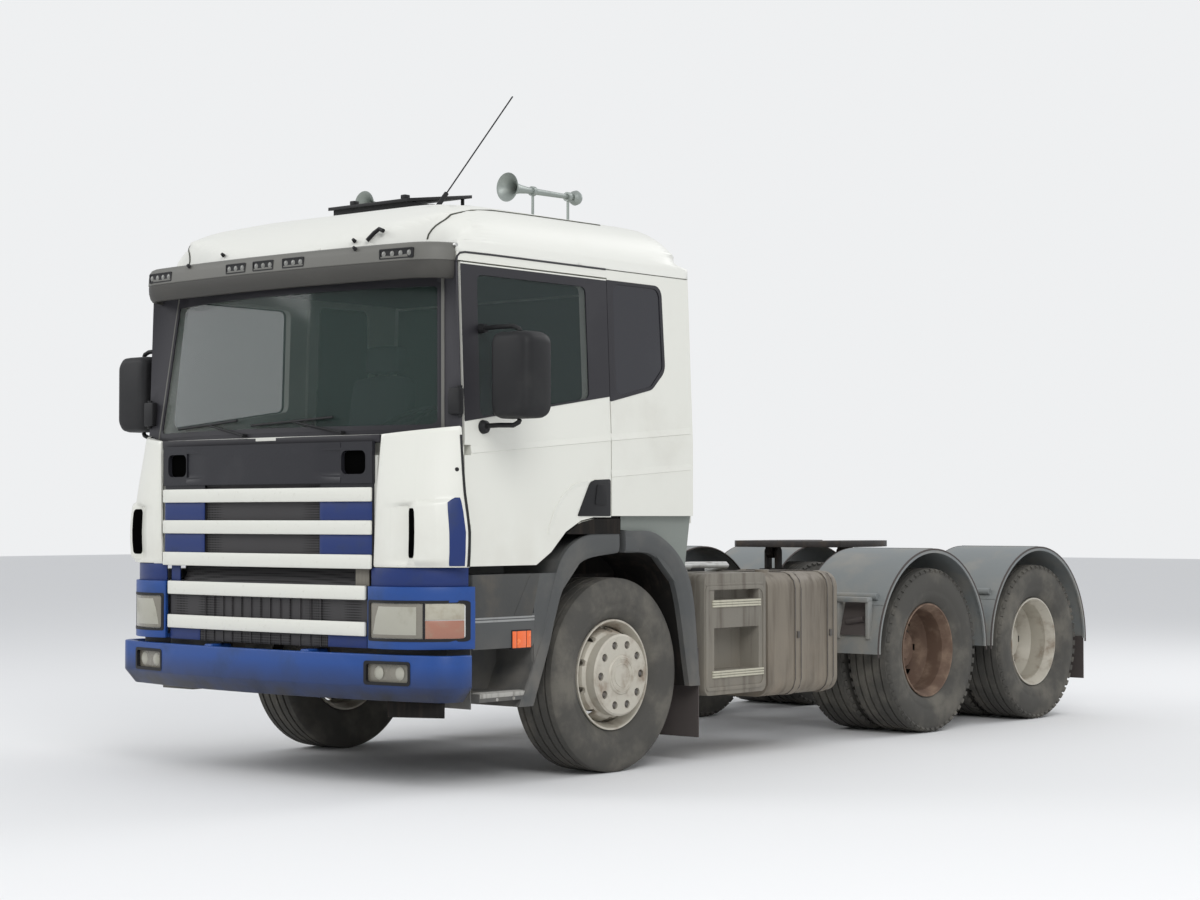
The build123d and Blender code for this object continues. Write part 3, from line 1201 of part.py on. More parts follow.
HORNS = ((565, -211), (-565, -211))
HORN_Z = 3197
HORN_LENGTH = 600
with BuildPart() as air_horns:
    for x, y in HORNS:
        plane = Plane(origin=(x, back(y), HORN_Z), x_dir=(0, 1, 0), z_dir=(-1, 0, 0))
        with BuildSketch(plane) as bell:
            with BuildLine():
                Polyline((0, 0), (0, 82), (30, 50), (90, 24), (170, 18), (HORN_LENGTH, 12), (HORN_LENGTH, 0),
                         close=True)
            make_face()
        revolve(bell.sketch, axis=Axis((x, back(y), HORN_Z), (0, 1, 0)))
        with Locations((x, back(y + HORN_LENGTH), HORN_Z)):
            Sphere(44)
        rod("Z", (x, back(y + HORN_LENGTH), HORN_Z - 90), 14, 180)
        rod("Z", (x, back(y + 190), HORN_Z - 80), 9, 160)
    roof_body(-SEAT_GAP, mode=Mode.SUBTRACT)
pieces["air_horns"] = air_horns

AERIAL = (455, -680)
AERIAL_LEAN = 41.5
with BuildPart() as antenna:
    lean = radians(AERIAL_LEAN)
    foot = (AERIAL[0], back(AERIAL[1]), 3020)
    for radius, start, length in ((13, 0, 150), (4, 140, 814)):
        middle = start + length / 2
        with Locations(Location((foot[0], foot[1] + middle * sin(lean), foot[2] + middle * cos(lean)),
                                (-AERIAL_LEAN, 0, 0))):
            Cylinder(radius, length)
    rod("Z", foot, 20, 50)
    roof_body(-SEAT_GAP, mode=Mode.SUBTRACT)
pieces["antenna"] = antenna

# Wipers at the foot of the windscreen

def bar(a, b, radius):
    """A round bar between two points."""
    a, b = Vector(*a), Vector(*b)
    with Locations(Plane(origin=(a + b) * 0.5, z_dir=b - a)):
        Cylinder(radius, (b - a).length)


WIPER_Z = CAB_BELT + 62
PIVOT_Z = CAB_BELT + 12
WIPER_SPANS = ((-820, -230), (-110, 480))
with BuildPart() as wipers:
    for start, end in WIPER_SPANS:
        a = (start, cab_front_y(start, WIPER_Z) - 18, WIPER_Z)
        b = (end, cab_front_y(end, WIPER_Z) - 18, WIPER_Z + 30)
        bar(a, b, 7)
        foot = (end + 60, cab_front_y(end + 60, PIVOT_Z), PIVOT_Z)
        rod("Y", (foot[0], foot[1] - 16.4 - SEAT_GAP, foot[2]), 9, 30)
        bar((foot[0], foot[1] - 26, foot[2]), [(p + q) / 2 for p, q in zip(a, b)], 6)
pieces["wipers"] = wipers

# Inside the cab: dashboard with the steering wheel, two seats and a bunk

DRIVER_X = 520
WHEEL_PLACE = (-930, 1850)
SEATS_X = (DRIVER_X, -DRIVER_X)
with BuildPart() as dashboard:
    block((-1100, 1100), (back(-1380), back(-1080)), (1560, 1790))
    block((-1060, 1060), (back(-1290), back(-1250)), (CAB_FLOOR + FLOOR_WALL + SEAT_GAP, 1570))
    cab_body(CAB_WALL + SEAT_GAP, CAB_FLOOR, CAB_BELT, mode=Mode.INTERSECT)
    with Locations(Location((DRIVER_X, back(WHEEL_PLACE[0]), WHEEL_PLACE[1]), (30, 0, 0))):
        Torus(215, 14)
        Cylinder(45, 30)
        Box(30, 420, 14)
        Box(420, 30, 14)
    with Locations(Location((DRIVER_X, back(WHEEL_PLACE[0] - 90), WHEEL_PLACE[1] - 160), (30, 0, 0))):
        Cylinder(26, 330)
pieces["dashboard"] = dashboard

SEAT_FLOOR = CAB_FLOOR_REAR + FLOOR_WALL + SEAT_GAP
with BuildPart() as seats:
    for x in SEATS_X:
        block((x - 170, x + 170), (back(-560), back(-160)), (SEAT_FLOOR, 1720))
        block((x - 250, x + 250), (back(-640), back(-130)), (1700, 1850))
        side_plate(((-190, 1800), (-70, 1800), (20, 2380), (-60, 2400)), x - 240, x + 240)
    block((-1060, 1060), (back(130), back(600)), (SEAT_FLOOR, 1760))
pieces["seats"] = seats

# Entry steps under the doors, in one with the front half of the wheel arch; they ride with the cab

STEP_LOW = STEP_BOTTOM + 9
with BuildPart() as cab_steps:
    step_in = STEP_FACE - STEP_DEPTH
    block((step_in, step_in + 8), (back(-STEP_FRONT), back(-STEP_REAR)), (STEP_LOW, STEP_TOP))
    for y in (-STEP_FRONT, -STEP_REAR - 8):
        block((step_in, STEP_FACE - 12), (back(y), back(y + 8)), (STEP_LOW, STEP_TOP))
    block((step_in, STEP_FACE), (back(-STEP_FRONT), back(-STEP_REAR)), (STEP_TOP - 100, STEP_TOP))
    side_plate(((-STEP_REAR - 4, STEP_TOP), (-525, STEP_TOP), (-620, 770), (-STEP_REAR - 4, 620)),
               STEP_FACE - 20, STEP_FACE)
    block((step_in, STEP_FACE), (back(-STEP_FRONT), back(-STEP_REAR)), (838, 880))
    block((step_in, STEP_FACE), (back(-1115), back(-STEP_REAR)), (442, 484))
    block((step_in + 20, step_in + 90), (back(-1150), back(-740)), (STEP_TOP - 1, CAB_FLOOR - SEAT_GAP))
    arch(ARCH_FRONT_OUTER, ARCH_FRONT_INNER, FLARE_OUT, FLARE_IN)
    mirror(about=Plane.YZ)
pieces["cab_steps"] = cab_steps

DEFLECTOR_TOP = SKIRT_REAR - SEAT_GAP
with BuildPart() as rear_deflectors:
    side_plate(((30, DEFLECTOR_TOP), (640, DEFLECTOR_TOP), (590, 1085), (545, 1100), (338, 1280), (30, 1306)),
               1172, 1178)
    mirror(about=Plane.YZ)
pieces["rear_deflectors"] = rear_deflectors

for name, piece in pieces.items():
    piece.part.label = name
    export_step(piece.part, f"parts/{name}.step")
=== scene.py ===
"""Dressed scene of a cab-over tractor unit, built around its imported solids."""

import logging
import math
from collections.abc import Callable
from dataclasses import dataclass
from enum import Enum

import bmesh
import bpy
from mathutils import Matrix, Vector
from mathutils.bvhtree import BVHTree

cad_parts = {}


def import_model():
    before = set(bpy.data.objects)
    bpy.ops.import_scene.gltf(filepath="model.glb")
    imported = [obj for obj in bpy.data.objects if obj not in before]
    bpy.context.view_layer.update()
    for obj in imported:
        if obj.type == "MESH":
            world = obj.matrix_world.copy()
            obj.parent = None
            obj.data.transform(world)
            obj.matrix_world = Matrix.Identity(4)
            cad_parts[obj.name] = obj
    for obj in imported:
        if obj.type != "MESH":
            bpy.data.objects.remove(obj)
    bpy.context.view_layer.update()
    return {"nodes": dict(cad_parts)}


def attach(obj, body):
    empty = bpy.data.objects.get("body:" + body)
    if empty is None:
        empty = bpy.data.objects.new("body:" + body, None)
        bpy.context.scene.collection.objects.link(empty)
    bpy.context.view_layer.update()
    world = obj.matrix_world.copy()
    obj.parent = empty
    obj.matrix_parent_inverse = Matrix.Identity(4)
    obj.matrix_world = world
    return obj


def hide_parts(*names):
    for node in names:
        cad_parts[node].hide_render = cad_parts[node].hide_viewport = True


LOG = logging.getLogger("tractor_unit")
Colour = tuple[float, float, float]
Place = tuple[float, float, float]
Plan = tuple[float, float]
Area = tuple[Plan, Plan]
Lay = Callable[[Plan, float], Place]
Tree = bpy.types.NodeTree
Socket = bpy.types.NodeSocket
Nodes = dict[str, bpy.types.Object]

FRONT_AXLE = -1.78
DRIVE_AXLES = (1.32, 2.67)
TYRE_RADIUS = 0.525
SIDES = {"left": 1, "right": -1}
BELT = 1.795
SEAM_LEVEL = 2.705
CAB_HALF = 1.215
CAB_LEAN = 0.037
SCREEN_HALF = 1.127
SCREEN_NARROWING = 0.088
SCREEN_RISE = 0.193
SCREEN_FOOT = -1.462
SCREEN_SLOPE = 0.088
MERGE = 1e-5
SHARP_TURN = 0.5
SOFT_TURN = 0.6
FLAT_DEGREES = 1.5
ROUND_STEPS = 2
CURVE_PARTS = 12
BOW_SEARCH = (-0.2, 1.2)
BOW_HALVINGS = 40


def behind(distance: float) -> float:
    """Find the Y of a place behind the front axle.

    Args:
        distance: How far behind it, in metres.

    Returns:
        The place's Y.
    """
    return FRONT_AXLE + distance


def fill(
    tree: Tree, node: bpy.types.Node, links: dict[str | int, Socket],
    values: dict[str | int, object] | None = None
) -> None:
    """Link a shader node's inputs and set the constants of the others.

    Args:
        tree: The node tree.
        node: The node.
        links: The sockets that feed it, by input.
        values: The constants, by input.
    """
    for name, value in (values or {}).items():
        node.inputs[name].default_value = value
    for name, socket in links.items():
        tree.links.new(socket, node.inputs[name])


def add_node(
    tree: Tree, kind: str, links: dict[str | int, Socket], values: dict[str | int, object] | None = None
) -> bpy.types.Node:
    """Add a shader node.

    Args:
        tree: The node tree.
        kind: The node's type, without the words that all types start with.
        links: The sockets that feed it, by input.
        values: The constants, by input.

    Returns:
        The node.
    """
    node = tree.nodes.new(f"ShaderNode{kind}")
    fill(tree, node, links, values)
    return node


class Pattern(Enum):
    """How a finish varies over its surface."""

    CLOUDS = "clouds"
    STREAKS = "streaks"
    SPECKS = "specks"
    HOLES = "holes"


@dataclass(frozen=True)
class Finish:
    """A surface with patches of a second colour, and a colour that gathers low down, mostly mud."""

    name: str
    colour: Colour
    worn: Colour
    pattern: Pattern = Pattern.CLOUDS
    amount: float = 0.3
    scale: float = 2.5
    roughness: float = 0.45
    metallic: float = 0.0
    coat: float = 0.0
    specular: float = 0.5
    bump: float = 0.05
    grain: float = 60.0
    mud: Colour = (0.33, 0.29, 0.24)
    mud_low: float = 0.3
    mud_high: float = 1.0
    mud_amount: float = 0.0
    mud_even: float = 0.0
    worn_gain: float = 0.25

    def material(self) -> bpy.types.Material:
        """Make the material once and keep it.

        Returns:
            The Blender material of this finish.
        """
        known = bpy.data.materials.get(self.name)
        if known:
            return known
        made = bpy.data.materials.new(self.name)
        made.use_nodes = True
        tree = made.node_tree
        place = add_node(tree, "TexCoord", {}).outputs["Object"]
        patches = self._pattern(tree, place)
        colour = self._mix(tree, patches, self.colour, self.worn)
        if self.mud_amount:
            colour = self._muddy(tree, place, colour)
        rough = add_node(tree, "MapRange", {"Value": patches},
                         {"To Min": self.roughness, "To Max": min(1.0, self.roughness + self.worn_gain)})
        fine = add_node(tree, "TexNoise", {"Vector": place}, {"Scale": self.grain, "Detail": 3.0})
        bump = add_node(tree, "Bump", {"Height": fine.outputs["Fac"]},
                        {"Strength": self.bump, "Distance": 0.01})
        fill(tree, tree.nodes["Principled BSDF"],
             {"Base Color": colour, "Roughness": rough.outputs["Result"], "Normal": bump.outputs["Normal"]},
             {"Metallic": self.metallic, "Coat Weight": self.coat, "Coat Roughness": 0.2,
              "Specular IOR Level": self.specular})
        return made

    def _pattern(self, tree: Tree, place: Socket) -> Socket:
        """Make the share of the second colour at each place.

        Args:
            tree: The material's node tree.
            place: The socket with the object coordinates.

        Returns:
            A socket from 0 to 1.
        """
        if self.pattern is Pattern.HOLES:
            return self._holes(tree, place)
        stretch = {Pattern.CLOUDS: (1, 1, 1), Pattern.STREAKS: (6, 6, 0.5),
                   Pattern.SPECKS: (9, 9, 9)}[self.pattern]
        mapping = add_node(tree, "Mapping", {"Vector": place}, {"Scale": stretch})
        noise = add_node(tree, "TexNoise", {"Vector": mapping.outputs["Vector"]},
                         {"Scale": self.scale, "Detail": 8.0, "Roughness": 0.6})
        spread = add_node(tree, "MapRange", {"Value": noise.outputs["Fac"]},
                          {"From Min": 0.62 - 0.35 * self.amount, "From Max": 0.95 - 0.45 * self.amount})
        spread.interpolation_type = "SMOOTHSTEP"
        return spread.outputs["Result"]

    def _holes(self, tree: Tree, place: Socket) -> Socket:
        """Make rows of small round holes.

        Args:
            tree: The material's node tree.
            place: The socket with the object coordinates.

        Returns:
            A socket that is 1 in a hole and 0 between the holes.
        """
        dots = add_node(tree, "TexVoronoi", {"Vector": place}, {"Scale": self.scale, "Randomness": 0.0})
        edge = add_node(tree, "MapRange", {"Value": dots.outputs["Distance"]},
                        {"From Min": 0.5 * self.amount + 0.06, "From Max": 0.5 * self.amount})
        return edge.outputs["Result"]

    def _mix(self, tree: Tree, share: Socket, first: Colour | Socket, second: Colour) -> Socket:
        """Mix two colours by a share.

        Args:
            tree: The material's node tree.
            share: The socket with the share of the second colour.
            first: The first colour, or a socket with it.
            second: The second colour.

        Returns:
            The mixed colour's socket.
        """
        mix = tree.nodes.new("ShaderNodeMix")
        mix.data_type = "RGBA"
        tree.links.new(share, mix.inputs["Factor"])
        if isinstance(first, Socket):
            tree.links.new(first, mix.inputs[6])
        else:
            mix.inputs[6].default_value = (*first, 1)
        mix.inputs[7].default_value = (*second, 1)
        return mix.outputs[2]

    def _muddy(self, tree: Tree, place: Socket, colour: Socket) -> Socket:
        """Lay a second colour over the lower part: mud on most finishes, a near-black band on the blue paint.

        Args:
            tree: The material's node tree.
            place: The socket with the object coordinates.
            colour: The colour under the mud.

        Returns:
            The colour with mud on it.
        """
        split = add_node(tree, "SeparateXYZ", {"Vector": place})
        height = add_node(tree, "MapRange", {"Value": split.outputs["Z"]},
                          {"From Min": self.mud_high, "From Max": self.mud_low, "To Max": self.mud_amount})
        noise = add_node(tree, "TexNoise", {"Vector": place}, {"Scale": 7.0, "Detail": 6.0})
        ragged = add_node(tree, "MapRange", {"Value": noise.outputs["Fac"]},
                          {"From Min": 0.3, "From Max": 0.65, "To Min": self.mud_even})
        both = add_node(tree, "Math", {0: height.outputs["Result"], 1: ragged.outputs["Result"]})
        both.operation = "MULTIPLY"
        return self._mix(tree, both.outputs["Value"], colour, self.mud)


@dataclass(frozen=True)
class Glass:
    """A tinted pane that lets the inside show."""

    name: str
    colour: Colour
    opacity: float = 0.6
    roughness: float = 0.06

    def material(self) -> bpy.types.Material:
        """Make the material once and keep it.

        Returns:
            The Blender material of this pane.
        """
        known = bpy.data.materials.get(self.name)
        if known:
            return known
        made = bpy.data.materials.new(self.name)
        made.use_nodes = True
        fill(made.node_tree, made.node_tree.nodes["Principled BSDF"], {}, {
            "Base Color": (*self.colour, 1), "Roughness": self.roughness, "IOR": 1.45, "Alpha": self.opacity})
        return made


PAINT = Finish("cab_off_white", (0.72, 0.72, 0.66), (0.62, 0.61, 0.55), amount=0.25, scale=1.2,
               roughness=0.38, coat=0.2, bump=0.015, mud=(0.5, 0.47, 0.4), mud_low=0.9, mud_high=1.5,
               mud_amount=0.35)
ROOF = Finish("roof_off_white", (0.74, 0.74, 0.69), (0.66, 0.66, 0.6), amount=0.2, scale=1.0, roughness=0.42,
              bump=0.015)
GREY_PLASTIC = Finish("flare_grey", (0.075, 0.078, 0.078), (0.12, 0.118, 0.11), amount=0.4, scale=3,
                      roughness=0.62, bump=0.06, grain=240, specular=0.35, mud=(0.24, 0.215, 0.18),
                      mud_low=0.35, mud_high=0.85, mud_amount=0.5)
DEFLECTOR = Finish("deflector_green_grey", (0.2, 0.22, 0.2), (0.26, 0.27, 0.24), amount=0.4, roughness=0.6)
VISOR = Finish("visor_smoke", (0.135, 0.133, 0.12), (0.18, 0.175, 0.155), scale=2, roughness=0.5, bump=0.02,
               specular=0.35)
BLACK = Finish("black_plastic_matt", (0.012, 0.012, 0.013), (0.028, 0.028, 0.028), scale=4, roughness=0.55,
               grain=200, specular=0.3)
DARK_PANEL = Finish("dark_panel_gloss", (0.016, 0.016, 0.02), (0.03, 0.03, 0.034), amount=0.2, scale=3,
                    roughness=0.4, specular=0.35)
# On the bumper this blue goes near-black towards the bottom, from z 0.64 down to 0.49, through the mud
# fields.
BLUE = Finish("worn_blue", (0.012, 0.06, 0.25), (0.02, 0.055, 0.17), amount=0.35, scale=4, roughness=0.4,
              bump=0.03, specular=0.4, mud=(0.018, 0.018, 0.022), mud_low=0.49, mud_high=0.64,
              mud_amount=0.97, mud_even=0.7)
CHASSIS = Finish("frame_dirty", (0.05, 0.043, 0.038), (0.11, 0.085, 0.06), amount=0.5, scale=4, roughness=0.8,
                 bump=0.15, mud_amount=0.35, mud=(0.16, 0.13, 0.1))
AXLE = Finish("axle_dirty", (0.045, 0.04, 0.036), (0.1, 0.08, 0.06), amount=0.5, scale=6, roughness=0.85,
              bump=0.2)
RUBBER = Finish("tyre_rubber_dusty", (0.075, 0.072, 0.065), (0.15, 0.14, 0.12), amount=0.55, scale=3.5,
                roughness=0.85, bump=0.12, grain=150, specular=0.3)
RIM_SILVER = Finish("rim_silver_dusty", (0.5, 0.47, 0.4), (0.25, 0.195, 0.145), amount=0.42, scale=7,
                    roughness=0.5, metallic=0.15, bump=0.06)
RIM_RUST = Finish("rim_rusty", (0.13, 0.08, 0.055), (0.25, 0.175, 0.125), amount=0.5, scale=8, roughness=0.75,
                  bump=0.12)
SIDE_BOX = Finish("side_box_beige", (0.2, 0.185, 0.155), (0.115, 0.1, 0.082), Pattern.STREAKS, 0.5, 2.2, 0.6,
                  bump=0.06, specular=0.35, mud=(0.3, 0.26, 0.2), mud_high=0.8, mud_amount=0.45)
GUARD = Finish("guard_grey_blue", (0.2, 0.216, 0.217), (0.27, 0.265, 0.245), amount=0.5, scale=3.5,
               roughness=0.6, bump=0.08, mud=(0.3, 0.27, 0.22), mud_low=0.5, mud_high=1.1, mud_amount=0.55,
               mud_even=0.1)
MESH = Finish("mesh_dark", (0.045, 0.043, 0.044), (0.004, 0.004, 0.004), Pattern.HOLES, 0.6, 75, 0.6,
              specular=0.3)
FLAP = Finish("flap_rubber", (0.022, 0.019, 0.018), (0.055, 0.043, 0.034), Pattern.STREAKS, 0.5, 3, 0.9,
              bump=0.1, specular=0.3)
CLOTH = Finish("seat_cloth_dark", (0.06, 0.065, 0.075), (0.08, 0.085, 0.095), Pattern.SPECKS, 0.5, 6, 0.9,
               bump=0.2, grain=500)
HORN = Finish("horn_grey_green", (0.3, 0.33, 0.31), (0.24, 0.26, 0.24), scale=8, roughness=0.4, metallic=0.4)
COUPLING = Finish("coupling_greasy", (0.035, 0.03, 0.028), (0.09, 0.07, 0.055), amount=0.5, scale=8,
                  roughness=0.55, metallic=0.3, bump=0.2)
BAR_WHITE = Finish("bar_white_chipped", (0.7, 0.7, 0.64), (0.5, 0.48, 0.42), Pattern.SPECKS, 0.12, 5, 0.4,
                   coat=0.15, bump=0.02)
TRIM_BLACK = Finish("window_surround_black", (0.02, 0.019, 0.023), (0.035, 0.034, 0.038), scale=3, bump=0.02,
                    specular=0.35)
PILLAR = Finish("pillar_dark", (0.03, 0.029, 0.034), (0.05, 0.048, 0.054), amount=0.35, scale=3,
                roughness=0.55, specular=0.35)
PILLAR_STRIP = Finish("pillar_strip_grey", (0.13, 0.128, 0.115), (0.07, 0.066, 0.06), Pattern.STREAKS, 0.4, 3,
                      0.5)
SEAM = Finish("seam_sealer_dark", (0.06, 0.062, 0.05), (0.16, 0.16, 0.13), amount=0.5, scale=12,
              roughness=0.8)
# Darker copy of the visor's plastic for its lower lip: painted shade.
VISOR_LIP_SHADED = Finish("visor_lip_painted_shade", (0.05, 0.048, 0.043), (0.075, 0.072, 0.065), amount=0.35, roughness=0.55,
                   bump=0.03, specular=0.35)
LAMP_LENS = Finish("headlamp_cloudy", (0.2, 0.185, 0.15), (0.28, 0.27, 0.22), amount=0.45, scale=5,
                   roughness=0.25, coat=0.35, bump=0.03, grain=90)
# Lamp reflectors: real parts, painted pale for the light they throw back: painted reflection.
REFLECTOR_PAINTED_SHINE = Finish("reflector_painted_shine", (0.38, 0.37, 0.31), (0.28, 0.27, 0.21), amount=0.4, scale=9,
                   roughness=0.35, coat=0.25)
SIDE_LIGHT = Finish("lens_milky", (0.42, 0.4, 0.32), (0.3, 0.26, 0.19), amount=0.4, scale=9, roughness=0.3,
                    coat=0.3)
INDICATOR = Finish("lens_faded_orange", (0.34, 0.15, 0.1), (0.31, 0.22, 0.15), amount=0.4, scale=10,
                   roughness=0.3, coat=0.3)
MARKER = Finish("marker_orange", (0.85, 0.14, 0.02), (0.95, 0.3, 0.06), amount=0.25, scale=30, roughness=0.25,
                coat=0.6)
TAIL_RED = Finish("lens_red", (0.4, 0.015, 0.012), (0.3, 0.02, 0.02), scale=20, roughness=0.25, coat=0.6)
EDGE_METAL = Finish("worn_tread_metal", (0.42, 0.41, 0.38), (0.2, 0.19, 0.17), Pattern.STREAKS, 0.4, 5, 0.5,
                    metallic=0.4, bump=0.08)
TREAD_CREAM = Finish("box_tread_cream", (0.5, 0.48, 0.38), (0.32, 0.3, 0.23), Pattern.STREAKS, 0.35, 4, 0.6,
                     bump=0.12)
PIPE = Finish("pipe_pale_grey", (0.42, 0.42, 0.4), (0.25, 0.24, 0.22), amount=0.4, scale=8, metallic=0.3)
NUT = Finish("nut_dark_steel", (0.12, 0.11, 0.1), (0.2, 0.17, 0.14), amount=0.4, scale=20, roughness=0.5,
             metallic=0.5)
LEATHER = Finish("bunk_cloth_grey", (0.09, 0.095, 0.11), (0.12, 0.125, 0.14), Pattern.SPECKS, 0.5, 7, 0.92,
                 bump=0.2, grain=420)
# A darker blue; on the lamp's upper recess this darkness is painted shade.
DARK_BLUE = Finish("blue_panel", (0.01, 0.028, 0.135), (0.02, 0.035, 0.1), scale=6, roughness=0.4, bump=0.02,
                    specular=0.35)
# Light grey step ledges: partly worn edges, partly painted highlight along their tops.
LEDGE_WEAR_AND_HIGHLIGHT = Finish("step_ledge_wear_and_highlight", (0.27, 0.275, 0.27), (0.19, 0.19, 0.18), Pattern.STREAKS, 0.4, 4, 0.55)
TANK = Finish("tank_dusty_beige", (0.2, 0.175, 0.14), (0.105, 0.088, 0.07), Pattern.STREAKS, 0.5, 1.6, 0.55,
              specular=0.35, mud=(0.3, 0.25, 0.19), mud_high=0.8, mud_amount=0.5)
MIRROR_GLASS = Finish("mirror_silver", (0.5, 0.52, 0.53), (0.42, 0.43, 0.44), amount=0.2, scale=3,
                      roughness=0.06, metallic=0.9, bump=0.0)
VISOR_LAMP = Finish("visor_lamp_grey", (0.2, 0.2, 0.185), (0.14, 0.14, 0.125), amount=0.4, scale=30,
                    roughness=0.3, coat=0.3)
STEP_PANEL = Finish("step_panel_dark", (0.065, 0.066, 0.064), (0.11, 0.1, 0.085), amount=0.5, scale=4,
                    roughness=0.75, bump=0.08, specular=0.3)
QUARTER = Finish("quarter_pane_dark", (0.02, 0.02, 0.025), (0.026, 0.027, 0.032), scale=2, roughness=0.12,
                 bump=0.0)
LINER = Finish("arch_liner_dark", (0.011, 0.01, 0.009), (0.032, 0.025, 0.02), Pattern.STREAKS, 0.5, 3, 0.9,
               bump=0.1, specular=0.2)
# Dark cab lining and door cards: a real lining, made darker as painted shade of the cab's inside.
LINING_AND_SHADE = Finish("cab_lining_and_painted_shade", (0.05, 0.056, 0.052), (0.075, 0.08, 0.074), scale=4, roughness=0.85,
              bump=0.02)
VOID = Finish("deep_shadow", (0.002, 0.002, 0.002), (0.006, 0.006, 0.006), amount=0.2, scale=6, roughness=1.0,
              specular=0.0)
CHROME = Finish("screw_bright", (0.6, 0.6, 0.58), (0.4, 0.4, 0.38), scale=30, roughness=0.3, metallic=0.8)
LENS = Glass("lamp_clear", (0.75, 0.76, 0.74), 0.9, 0.15)
WINDOW = Glass("window_green_grey", (0.03, 0.045, 0.042), 0.42)
SCREEN = Glass("windscreen_green_grey", (0.045, 0.07, 0.062), 0.32)


@dataclass(frozen=True)
class Camera:
    """The photograph's view of the truck."""

    place: Place = (9.20, -11.448, 1.373)
    turn: Place = (math.pi / 2 + 0.029, 0.0, 0.700)
    lens: float = 69.75

    def build(self) -> None:
        """Make the camera and hand it to the scene."""
        data = bpy.data.cameras.new("camera")
        data.lens = self.lens
        camera = bpy.data.objects.new("camera", data)
        camera.location = self.place
        camera.rotation_euler = self.turn
        bpy.context.scene.collection.objects.link(camera)
        bpy.context.scene.camera = camera


@dataclass(frozen=True)
class Studio:
    """A pale floor and backdrop under soft light."""

    floor: Colour = (0.8, 0.8, 0.8)
    size: float = 60.0
    sky: float = 0.75
    light: Colour = (0.95, 0.97, 1.0)
    backdrop: Colour = (0.86, 0.87, 0.88)
    aim: Place = (0.0, -0.5, 1.2)
    lamp_size: float = 6.0
    lamps: tuple[tuple[Place, float], ...] = (((10, -9, 9), 700), ((-9, -10, 8), 420), ((3, 10, 9), 380))

    def build(self) -> None:
        """Make the floor, the world and the lamps."""
        mesh = bpy.data.meshes.new("floor")
        shape = bmesh.new()
        bmesh.ops.create_grid(shape, x_segments=1, y_segments=1, size=self.size)
        shape.to_mesh(mesh)
        shape.free()
        floor = bpy.data.objects.new("floor", mesh)
        bpy.context.scene.collection.objects.link(floor)
        mesh.materials.append(self._pale("floor_pale"))
        world = bpy.data.worlds.new("world")
        world.use_nodes = True
        tree = world.node_tree
        ground = tree.nodes["Background"]
        fill(tree, ground, {}, {"Color": (*self.light, 1), "Strength": self.sky})
        seen = add_node(tree, "Background", {}, {"Color": (*self.backdrop, 1)})
        path = add_node(tree, "LightPath", {})
        rays = add_node(tree, "Math", {0: path.outputs["Is Camera Ray"],
                                       1: path.outputs["Is Transmission Ray"]})
        rays.operation = "MAXIMUM"
        choose = add_node(tree, "MixShader", {
            0: rays.outputs["Value"], 1: ground.outputs["Background"], 2: seen.outputs["Background"]})
        fill(tree, tree.nodes["World Output"], {"Surface": choose.outputs["Shader"]})
        bpy.context.scene.world = world
        bpy.context.scene.view_settings.view_transform = "Standard"
        for number, (place, power) in enumerate(self.lamps):
            data = bpy.data.lights.new(f"soft_{number}", "AREA")
            data.energy = power
            data.size = self.lamp_size
            lamp = bpy.data.objects.new(f"soft_{number}", data)
            lamp.location = place
            lamp.rotation_euler = (Vector(self.aim) - Vector(place)).to_track_quat("-Z", "Y").to_euler()
            bpy.context.scene.collection.objects.link(lamp)

    def _pale(self, name: str) -> bpy.types.Material:
        """Make the floor's material.

        Args:
            name: The material's name.

        Returns:
            A matt pale material.
        """
        made = bpy.data.materials.new(name)
        made.use_nodes = True
        fill(made.node_tree, made.node_tree.nodes["Principled BSDF"], {},
             {"Base Color": (*self.floor, 1), "Roughness": 0.9})
        return made


def lean_share(level: float) -> float:
    """Find how far up the leaning part of the cab a height lies.

    Args:
        level: The height.

    Returns:
        0 at the belt and below it, 1 at the roof seam.
    """
    return max(0.0, (level - BELT) / (SEAM_LEVEL - BELT))


def side_x(level: float) -> float:
    """Find the cab's half width, which is even up to the belt and then leans in.

    Args:
        level: The height.

    Returns:
        The half width there.
    """
    return CAB_HALF - CAB_LEAN * lean_share(level)


def screen_y(x: float, level: float) -> float:
    """Find the Y of the cab's rounded front at the windscreen.

    Args:
        x: Across the truck.
        level: The height.

    Returns:
        The Y there.
    """
    share = lean_share(level)
    half = SCREEN_HALF - SCREEN_NARROWING * share
    radius = (half**2 + SCREEN_RISE**2) / (2 * SCREEN_RISE)
    return behind(SCREEN_FOOT + SCREEN_SLOPE * share) + radius - math.sqrt(radius**2 - x**2)


def screen(spot: Plan, inset: float) -> Place:
    """Find a place on the windscreen's surface.

    Args:
        spot: Its X and height.
        inset: How far behind the surface it is.

    Returns:
        The place.
    """
    return (spot[0], screen_y(*spot) + inset, spot[1])


def flank(side: int) -> Lay:
    """Make the surface of the cab's side.

    Args:
        side: 1 on the left, -1 on the right.

    Returns:
        A surface on which a spot is (distance behind the front axle, height).
    """
    return lambda spot, inset: (side * (side_x(spot[1]) - inset), behind(spot[0]), spot[1])


def oblong(across: Plan, levels: Plan) -> list[Plan]:
    """List the corners of an upright rectangle.

    Args:
        across: Its two sides.
        levels: Its bottom and top.

    Returns:
        The four corners in order.
    """
    return [(across[0], levels[0]), (across[1], levels[0]), (across[1], levels[1]), (across[0], levels[1])]


def spread(first: float, last: float, parts: int) -> list[float]:
    """List numbers at even steps.

    Args:
        first: The first number.
        last: The last number.
        parts: How many steps lie between them.

    Returns:
        The numbers, with both ends.
    """
    return [first + (last - first) * step / parts for step in range(parts + 1)]


def eased(share: float) -> float:
    """Ease a share in and out.

    Args:
        share: The share, which is held between 0 and 1.

    Returns:
        The eased share, from 0 to 1.
    """
    held = min(1.0, max(0.0, share))
    return held * held * (3 - 2 * held)


